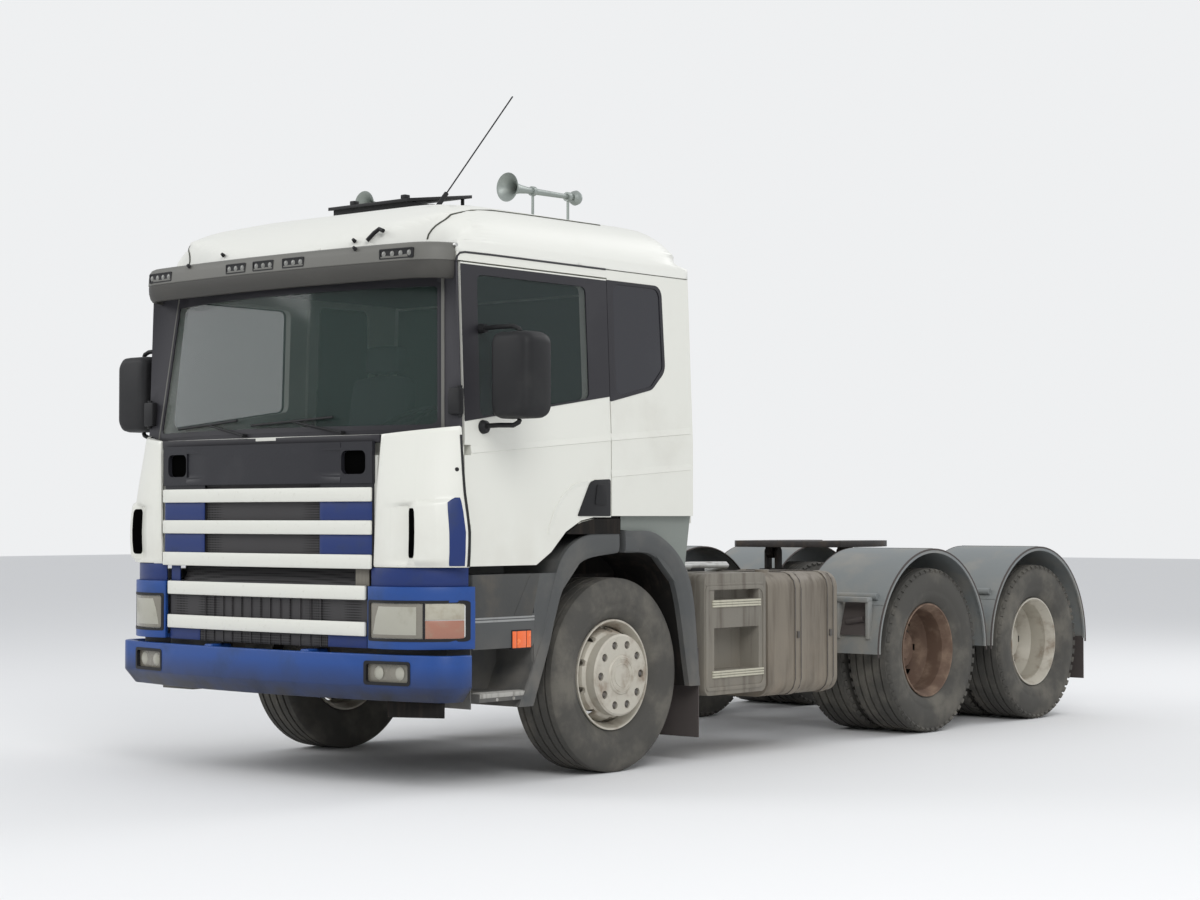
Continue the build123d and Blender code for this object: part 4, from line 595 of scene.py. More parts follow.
def rounded(corners: list[Plan], radius: float | tuple[float, ...], steps: int = 5,
            runs: int = 1) -> list[Plan]:
    """Round the corners of a flat outline.

    Args:
        corners: Corners in order.
        radius: One radius, or one for each corner.
        steps: Points added round each corner.
        runs: Parts that each straight edge is cut into.

    Returns:
        The outline's points.
    """
    count = len(corners)
    radii = radius if isinstance(radius, tuple) else (radius,) * count
    bends = []
    for index, corner in enumerate(corners):
        here = Vector(corner)
        back = (Vector(corners[index - 1]) - here).normalized()
        ahead = (Vector(corners[(index + 1) % count]) - here).normalized()
        half = back.angle(ahead) / 2
        middle = here + (back + ahead).normalized() * radii[index] / math.sin(half)
        first = here + back * radii[index] / math.tan(half)
        last = here + ahead * radii[index] / math.tan(half)
        start = math.atan2(*(first - middle).yx)
        sweep = (math.atan2(*(last - middle).yx) - start + math.pi) % math.tau - math.pi
        turns = [start + sweep * step / steps for step in range(steps + 1)]
        bends.append([middle + radii[index] * Vector((math.cos(turn), math.sin(turn))) for turn in turns])
    points = []
    for index, bend in enumerate(bends):
        following = bends[(index + 1) % count][0]
        points += [tuple(point) for point in bend]
        points += [tuple(bend[-1].lerp(following, step / runs)) for step in range(1, runs)]
    return points


def curve(points: list[Plan], steps: int) -> list[Plan]:
    """Draw a smooth line through points.

    Args:
        points: Places that the line goes through.
        steps: Parts of the line.

    Returns:
        Places at even shares along it.
    """
    ends = [tuple(2 * a - b for a, b in zip(points[0], points[1])), *points,
            tuple(2 * a - b for a, b in zip(points[-1], points[-2]))]
    line = []
    for index in range(1, len(ends) - 2):
        a, b, c, d = (Vector(point) for point in ends[index - 1:index + 3])
        for step in range(CURVE_PARTS):
            s = step / CURVE_PARTS
            line.append(0.5 * (2 * b + (c - a) * s + (2 * a - 5 * b + 4 * c - d) * s**2
                               + (3 * b - a - 3 * c + d) * s**3))
    line.append(Vector(points[-1]))
    lengths = [0.0]
    for near, far in zip(line, line[1:]):
        lengths.append(lengths[-1] + (far - near).length)
    places = []
    for step in range(steps + 1):
        goal = lengths[-1] * step / steps
        index = max(i for i, length in enumerate(lengths[:-1]) if length <= goal + 1e-9)
        part = (goal - lengths[index]) / (lengths[index + 1] - lengths[index])
        places.append(tuple(line[index].lerp(line[index + 1], part)))
    return places


@dataclass(frozen=True)
class Bow:
    """An arc in plan that a curved panel follows from end to end."""

    centre: Plan
    radius: float
    start: float
    end: float

    @classmethod
    def through(cls, first: Plan, second: Plan, third: Plan) -> "Bow":
        """Make the arc through three places.

        Args:
            first: One end, (x, distance behind the front axle).
            second: A place between the ends.
            third: The other end.

        Returns:
            The arc.
        """
        (ax, ay), (bx, by), (cx, cy) = ((x, behind(y)) for x, y in (first, second, third))
        twice = 2 * (ax * (by - cy) + bx * (cy - ay) + cx * (ay - by))
        a, b, c = ax**2 + ay**2, bx**2 + by**2, cx**2 + cy**2
        x = (a * (by - cy) + b * (cy - ay) + c * (ay - by)) / twice
        y = (a * (cx - bx) + b * (ax - cx) + c * (bx - ax)) / twice
        return cls((x, y), math.hypot(ax - x, ay - y), math.atan2(ay - y, ax - x), math.atan2(cy - y, cx - x))

    def at(self, share: float, inset: float = 0.0) -> Plan:
        """Find the place at a share of the arc.

        Args:
            share: 0 at its start, 1 at its end.
            inset: How far inside the arc the place is.

        Returns:
            The place in plan.
        """
        turn = self.start + share * (self.end - self.start)
        radius = self.radius - inset
        return (self.centre[0] + radius * math.cos(turn), self.centre[1] + radius * math.sin(turn))

    def share(self, x: float) -> float:
        """Find the share of the arc at which it has an X, by halving.

        Args:
            x: The X.

        Returns:
            The share.
        """
        low, high = BOW_SEARCH
        for _ in range(BOW_HALVINGS):
            middle = (low + high) / 2
            if self.at(middle)[0] < x:
                low = middle
            else:
                high = middle
        return low

    def lay(self, spot: Plan, inset: float) -> Place:
        """Find a place on an upright panel that follows the arc.

        Args:
            spot: Its X and height.
            inset: How far inside the panel it is.

        Returns:
            The place.
        """
        return (*self.at(self.share(spot[0]), inset), spot[1])


FRONT = Bow.through((-0.812, -1.48898), (0.0, -1.522), (0.812, -1.48898))
LAMP_CORNER = Bow.through((0.786, -1.488), (1.115, -1.425), (1.252, -1.192))
BUMPER_FRONT = Bow.through((-1.14, -1.45), (0.0, -1.57), (1.14, -1.45))
VISOR_FRONT = Bow.through((-0.95, -1.425), (0.0, -1.478), (0.95, -1.425))
VISOR_CORNER = Bow.through((0.95, -1.425), (1.112, -1.352), (1.171, -1.225))


class Sketch:
    """A mesh in the making, in the row frame, in metres."""

    def __init__(self) -> None:
        """Start with an empty mesh."""
        self.bm = bmesh.new()

    def _loop(self, points: list[Place]) -> tuple[list, list]:
        """Add points joined in a closed line.

        Args:
            points: Places in order.

        Returns:
            The new vertices and edges.
        """
        verts = [self.bm.verts.new(point) for point in points]
        return verts, [self.bm.edges.new(pair) for pair in zip(verts, verts[1:] + verts[:1])]

    def _round(self, verts: list, width: float) -> None:
        """Round the sharp edges of what was just added.

        Args:
            verts: Its vertices.
            width: Width of each rounded edge.
        """
        edges = list(dict.fromkeys(edge for vert in verts for edge in vert.link_edges))
        faces = list(dict.fromkeys(face for edge in edges for face in edge.link_faces))
        bmesh.ops.recalc_face_normals(self.bm, faces=faces)
        sharp = [edge for edge in edges
                 if len(edge.link_faces) == 2 and edge.calc_face_angle(0.0) > SHARP_TURN]
        bmesh.ops.bevel(self.bm, geom=sharp, offset=width, segments=ROUND_STEPS, profile=0.5, affect="EDGES",
                        material=-1)

    def block(self, low: Place, high: Place, bevel: float = 0.0) -> None:
        """Add a box between two corners.

        Args:
            low: One corner.
            high: The opposite corner.
            bevel: Width of the rounded edges.
        """
        size = [abs(b - a) for a, b in zip(low, high)]
        middle = Vector([(a + b) / 2 for a, b in zip(low, high)])
        made = bmesh.ops.create_cube(self.bm, size=1.0,
                                     matrix=Matrix.Translation(middle) @ Matrix.Diagonal((*size, 1)))
        if bevel:
            self._round(made["verts"], bevel)

    def rod(self, start: Place, end: Place, radius: float, far_radius: float | None = None,
            steps: int = 20) -> None:
        """Add a round bar or cone between two points.

        Args:
            start: Middle of the first end.
            end: Middle of the second end.
            radius: Radius at the first end.
            far_radius: Radius at the second end, if it differs.
            steps: Sides of the bar.
        """
        a, b = Vector(start), Vector(end)
        along = b - a
        turn = along.to_track_quat("Z", "Y").to_matrix().to_4x4()
        far = radius if far_radius is None else far_radius
        bmesh.ops.create_cone(self.bm, cap_ends=True, segments=steps, radius1=radius, radius2=far,
                              depth=along.length, matrix=Matrix.Translation((a + b) / 2) @ turn)

    def lathe(self, profile: list[Plan], centre: Place, out: int = 1, steps: int = 64,
              axis: str = "X") -> None:
        """Spin a closed section about a line along X or Y.

        Args:
            profile: Points of the section, (outwards, radius).
            centre: A place on the line.
            out: 1 or -1, the way along the line.
            steps: Steps of the full turn.
            axis: The line's direction.
        """
        x, y, z = centre
        places = [(x + out * a, y, z + r) if axis == "X" else (x, y + out * a, z + r) for a, r in profile]
        verts, ring = self._loop(places)
        line = (1, 0, 0) if axis == "X" else (0, 1, 0)
        bmesh.ops.spin(self.bm, geom=verts + ring, cent=centre, axis=line, angle=math.tau, steps=steps,
                       use_merge=True)

    def skin(self, rows: list[list[Place]], bevel: float = 0.0) -> None:
        """Stretch a skin over closed rows of points and close its two ends.

        Args:
            rows: Rows with one point for each of the next row's.
            bevel: Width of the rounded edges.
        """
        loops = [self._loop(row) for row in rows]
        for (_, near), (_, far) in zip(loops, loops[1:]):
            bmesh.ops.bridge_loops(self.bm, edges=near + far)
        for verts, _ in (loops[0], loops[-1]):
            self.bm.faces.new(verts)
        if bevel:
            self._round([vert for verts, _ in loops for vert in verts], bevel)

    def tube(self, points: list[Place], radius: float, steps: int = 10) -> None:
        """Add a bar that follows points.

        Args:
            points: Its middle line.
            radius: Its radius.
            steps: Its sides.
        """
        rows = []
        for index, point in enumerate(points):
            way = Vector(points[min(index + 1, len(points) - 1)]) - Vector(points[max(index - 1, 0)])
            turn = way.to_track_quat("Z", "Y")
            spokes = [Vector((radius * math.cos(a), radius * math.sin(a), 0))
                      for a in (math.tau * step / steps for step in range(steps))]
            rows.append([tuple(Vector(point) + turn @ spoke) for spoke in spokes])
        self.skin(rows)

    def plate(self, outline: list[Place], along: Place, bevel: float = 0.0) -> None:
        """Add a flat plate of any outline.

        Args:
            outline: Corners of one face.
            along: The way to the other face.
            bevel: Width of the rounded edges.
        """
        verts, _ = self._loop(outline)
        self._thicken([self.bm.faces.new(verts)], along, bevel)

    def _thicken(self, faces: list, along: Place, bevel: float) -> None:
        """Give faces a thickness.

        Args:
            faces: Faces of one side.
            along: The way to the other side.
            bevel: Width of the rounded edges.
        """
        made = bmesh.ops.extrude_face_region(self.bm, geom=faces)
        moved = [item for item in made["geom"] if isinstance(item, bmesh.types.BMVert)]
        bmesh.ops.translate(self.bm, verts=moved, vec=Vector(along))
        if bevel:
            verts = dict.fromkeys(vert for near in moved for edge in near.link_edges for vert in edge.verts)
            self._round(list(verts), bevel)

    def strip(self, lay: Lay, pairs: list[tuple[Plan, Plan]], depth: Plan, bevel: float = 0.0) -> None:
        """Lay a strip on a surface.

        Args:
            lay: The surface.
            pairs: The strip's two edges, pair by pair along it.
            depth: How far inside the surface its outer and inner faces lie.
            bevel: Width of the rounded edges.
        """
        near, far = depth
        self.skin([[lay(a, near), lay(b, near), lay(b, far), lay(a, far)] for a, b in pairs], bevel)

    def wall(self, bow: Bow, span: Plan, levels: Plan, depth: Plan, bevel: float = 0.0,
             count: int = 12) -> None:
        """Add a level strip that follows a bow.

        Args:
            bow: The arc in plan.
            span: Its two X.
            levels: Its bottom and top.
            depth: How far inside the arc its outer and inner faces lie.
            bevel: Width of the rounded edges.
            count: Steps along it.
        """
        low, high = levels
        self.strip(bow.lay, [((x, low), (x, high)) for x in spread(*span, count)], depth, bevel)

    def frame(self, lay: Lay, outer: list[Plan], inner: list[Plan], depth: Plan, bevel: float = 0.0) -> None:
        """Lay a frame round a hole on a surface.

        Args:
            lay: The surface.
            outer: The frame's outline.
            inner: The hole's outline, with as many points.
            depth: How far inside the surface its outer and inner faces lie.
            bevel: Width of the rounded edges.
        """
        loops = [self._loop([lay(spot, inset) for spot in line])[0]
                 for inset, line in ((depth[0], outer), (depth[0], inner), (depth[1], inner),
                                     (depth[1], outer))]
        for near, far in zip(loops, loops[1:] + loops[:1]):
            for index in range(len(near)):
                after = (index + 1) % len(near)
                self.bm.faces.new((near[index], near[after], far[after], far[index]))
        if bevel:
            self._round([vert for loop in loops for vert in loop], bevel)

    def softened(self, node: bpy.types.Object, width: float) -> None:
        """Take a solid's shape and round its sharp edges.

        Args:
            node: The CAD node.
            width: Width of the rounded edges.
        """
        self.bm.from_mesh(node.data)
        bmesh.ops.remove_doubles(self.bm, verts=self.bm.verts, dist=MERGE)
        bmesh.ops.dissolve_limit(self.bm, angle_limit=math.radians(FLAT_DEGREES), verts=self.bm.verts,
                                 edges=self.bm.edges)
        sharp = [edge for edge in self.bm.edges
                 if len(edge.link_faces) == 2 and edge.calc_face_angle(0.0) > SOFT_TURN]
        bmesh.ops.bevel(self.bm, geom=sharp, offset=width, segments=ROUND_STEPS, profile=0.5, affect="EDGES",
                        material=-1, clamp_overlap=True)

    def mirrored(self) -> None:
        """Add the same shapes on the other side of the truck."""
        geom = self.bm.verts[:] + self.bm.edges[:] + self.bm.faces[:]
        copy = bmesh.ops.duplicate(self.bm, geom=geom)
        verts = [item for item in copy["geom"] if isinstance(item, bmesh.types.BMVert)]
        faces = [item for item in copy["geom"] if isinstance(item, bmesh.types.BMFace)]
        bmesh.ops.scale(self.bm, verts=verts, vec=(-1, 1, 1))
        bmesh.ops.reverse_faces(self.bm, faces=faces)

    def piece(
        self, name: str, finish: Finish | Glass, body: str, slot: str, replaces: tuple[str, ...] = (),
        sharp: float = 35.0, both: bool = False
    ) -> bpy.types.Object:
        """Close the mesh, give it its finish and let it ride.

        Args:
            name: The piece's name.
            finish: Its finish.
            body: The CAD body that it rides on.
            slot: The record's material slot; not used.
            replaces: CAD nodes that it stands for.
            sharp: Angle in degrees from which an edge stays sharp.
            both: Whether its mirror image on the other side of the truck is part of it.

        Returns:
            The finished object.
        """
        if both:
            self.mirrored()
        bmesh.ops.remove_doubles(self.bm, verts=self.bm.verts, dist=MERGE)
        bmesh.ops.recalc_face_normals(self.bm, faces=self.bm.faces)
        open_edges = sum(1 for edge in self.bm.edges if len(edge.link_faces) != 2)
        if open_edges:
            LOG.warning("%s has %d open edges", name, open_edges)
        mesh = bpy.data.meshes.new(name)
        self.bm.to_mesh(mesh)
        self.bm.free()
        mesh.polygons.foreach_set("use_smooth", [True] * len(mesh.polygons))
        mesh.set_sharp_from_angle(angle=math.radians(sharp))
        mesh.materials.append(finish.material())
        made = bpy.data.objects.new(name, mesh)
        bpy.context.scene.collection.objects.link(made)
        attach(made, body)
        if replaces:
            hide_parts(*replaces)
        LOG.info("%s: %d faces on %s", name, len(mesh.polygons), body)
        return made


@dataclass
class FrontLid:
    """Bars, blue ends and air scoops of the lid under the windscreen."""

    bar_tops: tuple[float, ...] = (1.523, 1.356, 1.184)
    bar_height: float = 0.068
    half: float = 0.81
    blue_from: float = 0.45
    blue_levels: tuple[Plan, ...] = ((1.186, 1.286), (1.358, 1.453))
    scoop: Area = ((0.599, 0.773), (1.587, 1.717))
    face: Plan = (1.5475, 1.7535)
    dip: float = 0.009
    dip_from: float = 0.4
    steps: int = 40

    def build(self) -> None:
        """Dress the lid."""
        bars, blue = Sketch(), Sketch()
        for top in self.bar_tops:
            bars.wall(FRONT, (-self.half, self.half), (top - self.bar_height - 0.002, top + 0.002),
                      (-0.003, 0.012), 0.006, 24)
        bars.piece("lid_bars", BAR_WHITE, "front_lid", "cab_paint")
        for levels in self.blue_levels:
            blue.wall(FRONT, (self.blue_from, self.half - 0.004), levels, (0.0105, 0.015), 0.001)
        blue.piece("lid_blue_ends", DARK_BLUE, "front_lid", "blue_paint", both=True)
        rims, backs = Sketch(), Sketch()
        (x0, x1), (z0, z1) = self.scoop
        inner = rounded(oblong((x0 + 0.005, x1 - 0.005), (z0 + 0.005, z1 - 0.005)), 0.032)
        rims.frame(FRONT.lay, rounded(oblong(*self.scoop), 0.004), inner, (0.0035, 0.03))
        rims.piece("lid_scoop_rims", DARK_PANEL, "front_lid", "dark_panel", both=True)
        self._scoop_faces()
        backs.wall(FRONT, (x0 - 0.01, x1 + 0.01), (z0 - 0.01, z1 + 0.01), (0.029, 0.032))
        backs.piece("lid_scoop_backs", VOID, "front_lid", "black_plastic", both=True)

    def _scoop_faces(self) -> None:
        """Build the panel's face between the scoops, which dips towards each of them."""
        face = Sketch()
        (x0, _), (z0, z1) = self.scoop
        levels = [self.face[0], z0 - 0.012, z0, z0 + 0.02, (z0 + z1) / 2, z1 - 0.02, z1, z1 + 0.012,
                  self.face[1]]
        rows = []
        for x in spread(-x0 - 0.001, x0 + 0.001, self.steps):
            dip = self.dip * eased((abs(x) - self.dip_from) / (x0 - self.dip_from))
            front = [FRONT.lay((x, z), 0.0022 + dip * (z0 - 0.005 < z < z1 + 0.005)) for z in levels]
            rows.append(front + [FRONT.lay((x, z), 0.0135) for z in (levels[-1], levels[0])])
        face.skin(rows)
        face.piece("lid_scoop_faces", DARK_PANEL, "front_lid", "dark_panel", sharp=50)


@dataclass
class LowerFront:
    """Bars, blue ends and leaning sheet between the lid and the bumper."""

    bar_tops: tuple[float, ...] = (1.028, 0.846)
    bar_height: float = 0.068
    half: float = 0.768
    strip: Plan = (1.026, 1.112)
    low_strip: Plan = (0.716, 0.776)
    sheet_from: float = -0.69
    sheet_steps: int = 16
    lean: tuple[Plan, ...] = ((1.026, 0.054), (1.13, 0.1), (1.13, 0.104), (1.026, 0.058))

    def build(self) -> None:
        """Dress the lower front."""
        bars, blue, sheet, worn = Sketch(), Sketch(), Sketch(), Sketch()
        for top in self.bar_tops:
            bars.wall(FRONT, (-self.half, self.half), (top - self.bar_height - 0.002, top + 0.002),
                      (0.001, 0.02), 0.006, 24)
        bars.piece("lower_bars", BAR_WHITE, "chassis", "cab_paint")
        blue.wall(FRONT, (0.5, self.half - 0.002), self.low_strip, (0.022, 0.028), 0.001)
        blue.mirrored()
        blue.wall(FRONT, (-self.half, self.sheet_from), self.strip, (0.03, 0.036), 0.001)
        blue.piece("lower_blue_ends", DARK_BLUE, "chassis", "blue_paint")
        sheet.skin([[FRONT.lay((x, level), inset) for level, inset in self.lean]
                    for x in spread(self.sheet_from, self.half - 0.09, self.sheet_steps)])
        sheet.piece("lower_sheet", MESH, "chassis", "mesh_metal")
        low = Sketch()
        low.wall(FRONT, (-0.498, 0.498), self.low_strip, (0.0235, 0.028), 0.001)
        low.piece("lower_mesh_strip", MESH, "chassis", "mesh_metal")
        worn.wall(FRONT, (self.half - 0.09, self.half), self.strip, (0.034, 0.041), 0.001)
        worn.piece("lower_sheet_worn_end", SIDE_BOX, "chassis", "mesh_metal")


@dataclass
class Headlamps:
    """Cloudy headlamps with their two-part side lamps, and the fog lamps in the bumper."""

    lens: Area = ((0.812, 1.112), (0.772, 0.946))
    lamp: Area = ((1.122, 1.236), (0.772, 0.946))
    lamp_depth: Plan = (0.001, 0.016)
    splits: Plan = (0.862, 0.866)
    bezel: tuple[Area, Area] = (((0.796, 1.2455), (0.757, 0.961)), ((0.813, 1.2385), (0.771, 0.947)))
    fog: Area = ((0.795, 1.055), (0.548, 0.648))
    fog_bezel: tuple[Area, Area] = (((0.785, 1.065), (0.538, 0.658)), ((0.8, 1.05), (0.553, 0.643)))
    bowls: Plan = (0.862, 0.988)
    bowl: tuple[Plan, ...] = ((0.0, 0.0005), (-0.006, 0.0005), (-0.006, 0.012), (-0.004, 0.026), (0.0, 0.036))
    recess: Area = ((0.79, 1.2455), (1.02, 1.122))
    beams: tuple[Plan, ...] = ((0.718, 0.768), (0.95, 1.028))
    posts: tuple[Plan, ...] = ((0.786, 0.812), (1.2405, 1.2515))
    shelves: Plan = (1.0275, 0.739)
    frame_depth: Plan = (0.0, 0.026)

    def build(self) -> None:
        """Build both sides at once."""
        bezel, pane, bright, milky, orange = Sketch(), Sketch(), Sketch(), Sketch(), Sketch()
        outer, inner = (rounded(oblong(*area), 0.012, 4, 10) for area in self.bezel)
        bezel.frame(LAMP_CORNER.lay, outer, inner, (-0.002, 0.022))
        outer, inner = (rounded(oblong(*area), radius, 4, 6)
                        for area, radius in zip(self.fog_bezel, (0.016, 0.012)))
        bezel.frame(BUMPER_FRONT.lay, outer, inner, (-0.002, 0.03))
        bezel.wall(LAMP_CORNER, (0.79, 1.2), (0.672, 0.73), (0.05, 0.056))
        bezel.wall(LAMP_CORNER, (1.1125, 1.1215), (0.77, 0.948), (0.001, 0.02))
        pane.wall(LAMP_CORNER, *self.lens, (0.003, 0.016), 0.002, 16)
        pane.wall(BUMPER_FRONT, *self.fog, (0.018, 0.024), 0.001)
        # A pale wedge behind the headlamp lens and pale fog lamp bowls: the reflectors, their paleness
        # painted reflection.
        edges = [((x, 0.79), (x, min(0.93, 0.8 + 0.13 * step / 1.6)))
                 for step, x in enumerate(spread(0.835, 1.085, 12))]
        bright.strip(LAMP_CORNER.lay, edges, (0.0015, 0.01), 0.001)
        for x in self.bowls:
            bright.lathe(list(self.bowl), BUMPER_FRONT.lay((x, 0.598), 0.019), 1, 28, "Y")
        deep, formed = Sketch(), Sketch()
        deep.wall(LAMP_CORNER, *self.recess, (0.018, 0.028), 0.002)
        for levels in self.beams:
            formed.wall(LAMP_CORNER, (0.786, 1.2515), levels, self.frame_depth, 0.003, 28)
        for span in self.posts:
            formed.wall(LAMP_CORNER, span, (0.76, 0.958), self.frame_depth, 0.001, 4)
        for level in self.shelves:
            front = [LAMP_CORNER.lay((x, level), 0.018) for x in spread(0.79, 1.2505, 20)]
            formed.plate([*front, (1.2, behind(-1.18), level), (0.8, behind(-1.196), level)], (0, 0, -0.02))
        formed.piece("headlamp_frames_formed", BLUE, "chassis", "blue_paint", ("headlamp_frames",), both=True)
        # The recess wall takes the darker blue for the shade under the corner panel: painted shade.
        deep.piece("lamp_upper_recess", DARK_BLUE, "chassis", "blue_paint", both=True)
        span, (foot, top) = self.lamp
        milky.wall(LAMP_CORNER, span, (self.splits[1], top), self.lamp_depth, 0.002, 10)
        orange.wall(LAMP_CORNER, span, (foot, self.splits[0]), self.lamp_depth, 0.002, 10)
        for sketch, name, finish, slot in (
            (bezel, "lamp_bezels", BLACK, "black_plastic"), (pane, "lamp_panes", LAMP_LENS, "lamp_lens"),
            (bright, "lamp_reflectors_painted_shine", REFLECTOR_PAINTED_SHINE, "lamp_lens"),
            (milky, "side_lamps_milky", SIDE_LIGHT, "lamp_lens"),
            (orange, "indicators_orange", INDICATOR, "lamp_lens"),
        ):
            sketch.piece(name, finish, "chassis", slot, both=True)


@dataclass
class CornerPanels:
    """Blue strips, air shelves and round plugs on the cab's front corners."""

    rows: tuple[tuple[float, tuple[Plan, Plan, Plan]], ...] = (
        (1.125, ((0.822, -1.487), (1.118, -1.43), (1.278, -1.262))),
        (1.300, ((0.830, -1.487), (1.130, -1.432), (1.285, -1.262))),
        (1.500, ((0.838, -1.483), (1.115, -1.42), (1.25, -1.262))),
        (1.790, ((0.860, -1.470), (1.075, -1.390), (1.222, -1.262))),
    )
    blue: tuple[tuple[float, float, float], ...] = (
        (1.132, 0.805, 0.95), (1.14, 0.803, 0.95), (1.15, 0.801, 0.95), (1.162, 0.8, 0.95), (1.2, 0.8, 0.95),
        (1.3, 0.795, 0.95), (1.4, 0.795, 0.945), (1.448, 0.8, 0.94), (1.462, 0.84, 0.935),
        (1.472, 0.88, 0.93),
    )
    scoop: tuple[Plan, ...] = (
        (0.0, 0.0), (0.1, 0.0), (0.22, 0.005), (0.34, 0.019), (0.4, 0.024), (0.488, -0.018), (0.53, -0.021),
        (0.68, -0.018), (0.8, -0.01), (0.95, 0.0), (1.0, 0.0),
    )
    slot: tuple[Plan, ...] = (
        (1.172, 0.02), (1.177, 0.01), (1.188, 0.002), (1.24, 0.0), (1.3, 0.0), (1.36, 0.0), (1.402, 0.002),
        (1.414, 0.01), (1.419, 0.02),
    )
    chord: Plan = (0.4, 0.488)
    foot: float = 1.125
    height: float = 0.665
    height_gain: float = 0.04
    steps: int = 60
    blue_steps: int = 5
    scoop_top: float = 1.432
    scoop_foot: float = 1.13
    gap_levels: tuple[float, ...] = (1.128, 1.2, 1.3, 1.4, 1.5, 1.65, 1.785)

    def lay(self, spot: Plan, inset: float) -> Place:
        """Find a place on the panel, on a smooth curve through its rows.

        Args:
            spot: The share of its bow and the height.
            inset: How far inside the panel it is.

        Returns:
            The place.
        """
        share, level = spot
        index = max(0, min(len(self.rows) - 2, sum(1 for row in self.rows[1:] if row[0] < level)))
        (low, near), (high, far) = self.rows[index:index + 2]
        part = (level - low) / (high - low)
        before, after = self.rows[max(index - 1, 0)], self.rows[min(index + 2, len(self.rows) - 1)]
        places = []
        for corner in range(3):
            spots = []
            for axis in range(2):
                a, b = near[corner][axis], far[corner][axis]
                rise = (b - before[1][corner][axis]) / (high - before[0]) * (high - low)
                fall = (after[1][corner][axis] - a) / (after[0] - low) * (high - low)
                spots.append((2 * part**3 - 3 * part**2 + 1) * a + (part**3 - 2 * part**2 + part) * rise
                             + (3 * part**2 - 2 * part**3) * b + (part**3 - part**2) * fall)
            places.append(tuple(spots))
        bow = Bow.through(*places)
        return (*bow.at(share, inset), level)

    def _depth(self, share: float, level: float) -> float:
        """How deep the air scoop is at a place, or how proud the block behind its slot.

        Args:
            share: Share of the panel's bow.
            level: Height.

        Returns:
            The depth inside the panel's own surface.
        """
        depth = 0.0
        for (low, near), (high, far) in zip(self.scoop, self.scoop[1:]):
            if low <= share <= high:
                depth = near + (far - near) * (share - low) / (high - low)
        top = (self.scoop_top + 0.045 * share - level) / 0.018
        foot = (level - self.scoop_foot) / 0.03
        return depth * eased(min(top, foot))

    def skin(self, spot: Plan, inset: float) -> Place:
        """Find a place on the moulded surface.

        Args:
            spot: The share of the panel's bow and the height.
            inset: How far inside the surface it is.

        Returns:
            The place.
        """
        return self.lay(spot, inset + self._depth(*spot))

    def build(self) -> None:
        """Build both corners and dress them."""
        blue, plugs, shell = Sketch(), Sketch(), Sketch()
        even = {part / 32 for part in range(33) if not self.chord[0] < part / 32 < self.chord[1]}
        shares = sorted(even | {share for share, _ in self.scoop})
        rows = []
        for step in range(self.steps + 1):
            edge = 0.004 if step in (0, self.steps) else 0.0
            row = [(share, self.foot + (self.height + self.height_gain * share) * step / self.steps)
                   for share in shares]
            rows.append([self.skin(spot, edge + 0.004 * (spot[0] in (0.0, 1.0))) for spot in row]
                        + [self.lay(spot, 0.038 if 0.1 < spot[0] < 0.6 else 0.02) for spot in reversed(row)])
        shell.skin(rows)
        shell.piece("corner_panels_moulded", PAINT, "cab", "cab_paint", ("corner_panels",), 40.0, both=True)
        rows = []
        for level, low, high in self.blue:
            shares = spread(low, high, self.blue_steps)
            rows.append([self.skin((share, level), -0.004) for share in shares]
                        + [self.skin((share, level), 0.006) for share in reversed(shares)])
        blue.skin(rows, 0.0025)
        blue.piece("corner_blue_strips", DARK_BLUE, "cab", "blue_paint", both=True)
        slot, gap = Sketch(), Sketch()
        slot.strip(self.skin, [((0.401 + back, level), (0.486 - back, level)) for level, back in self.slot],
                   (-0.0015, 0.004))
        gap.strip(self.lay, [((0.972, level), (0.999, level)) for level in self.gap_levels], (-0.0025, 0.01),
                  0.001)
        for sketch, name, finish in ((slot, "corner_slots", VOID), (gap, "corner_gap_rubbers", BLACK)):
            sketch.piece(name, finish, "cab", "black_plastic", both=True)
        plugs.rod(self.lay((0.92, 1.612), 0.01), self.lay((0.92, 1.612), -0.003), 0.012, 0.01)
        plugs.piece("corner_plugs", BLACK, "cab", "black_plastic", both=True)


@dataclass
class Bumper:
    """Painted bumper with softened edges, and the dark flap under its left end."""

    flap: tuple[Plan, ...] = ((0.8, 0.365), (1.19, 0.38), (1.19, 0.46), (0.8, 0.46))
    flap_distance: float = -1.36

    def build(self, nodes: Nodes) -> None:
        """Round the bumper's edges and hang the flap.

        Args:
            nodes: The CAD nodes by name.
        """
        shell, tray = Sketch(), Sketch()
        shell.softened(nodes["bumper"], 0.012)
        shell.piece("bumper_painted", BLUE, "chassis", "blue_paint", ("bumper",))
        tray.plate([(x, behind(self.flap_distance), z) for x, z in self.flap], (0, 0.012, 0), 0.002)
        tray.piece("bumper_undertray_flap", LINER, "chassis", "flap_rubber")


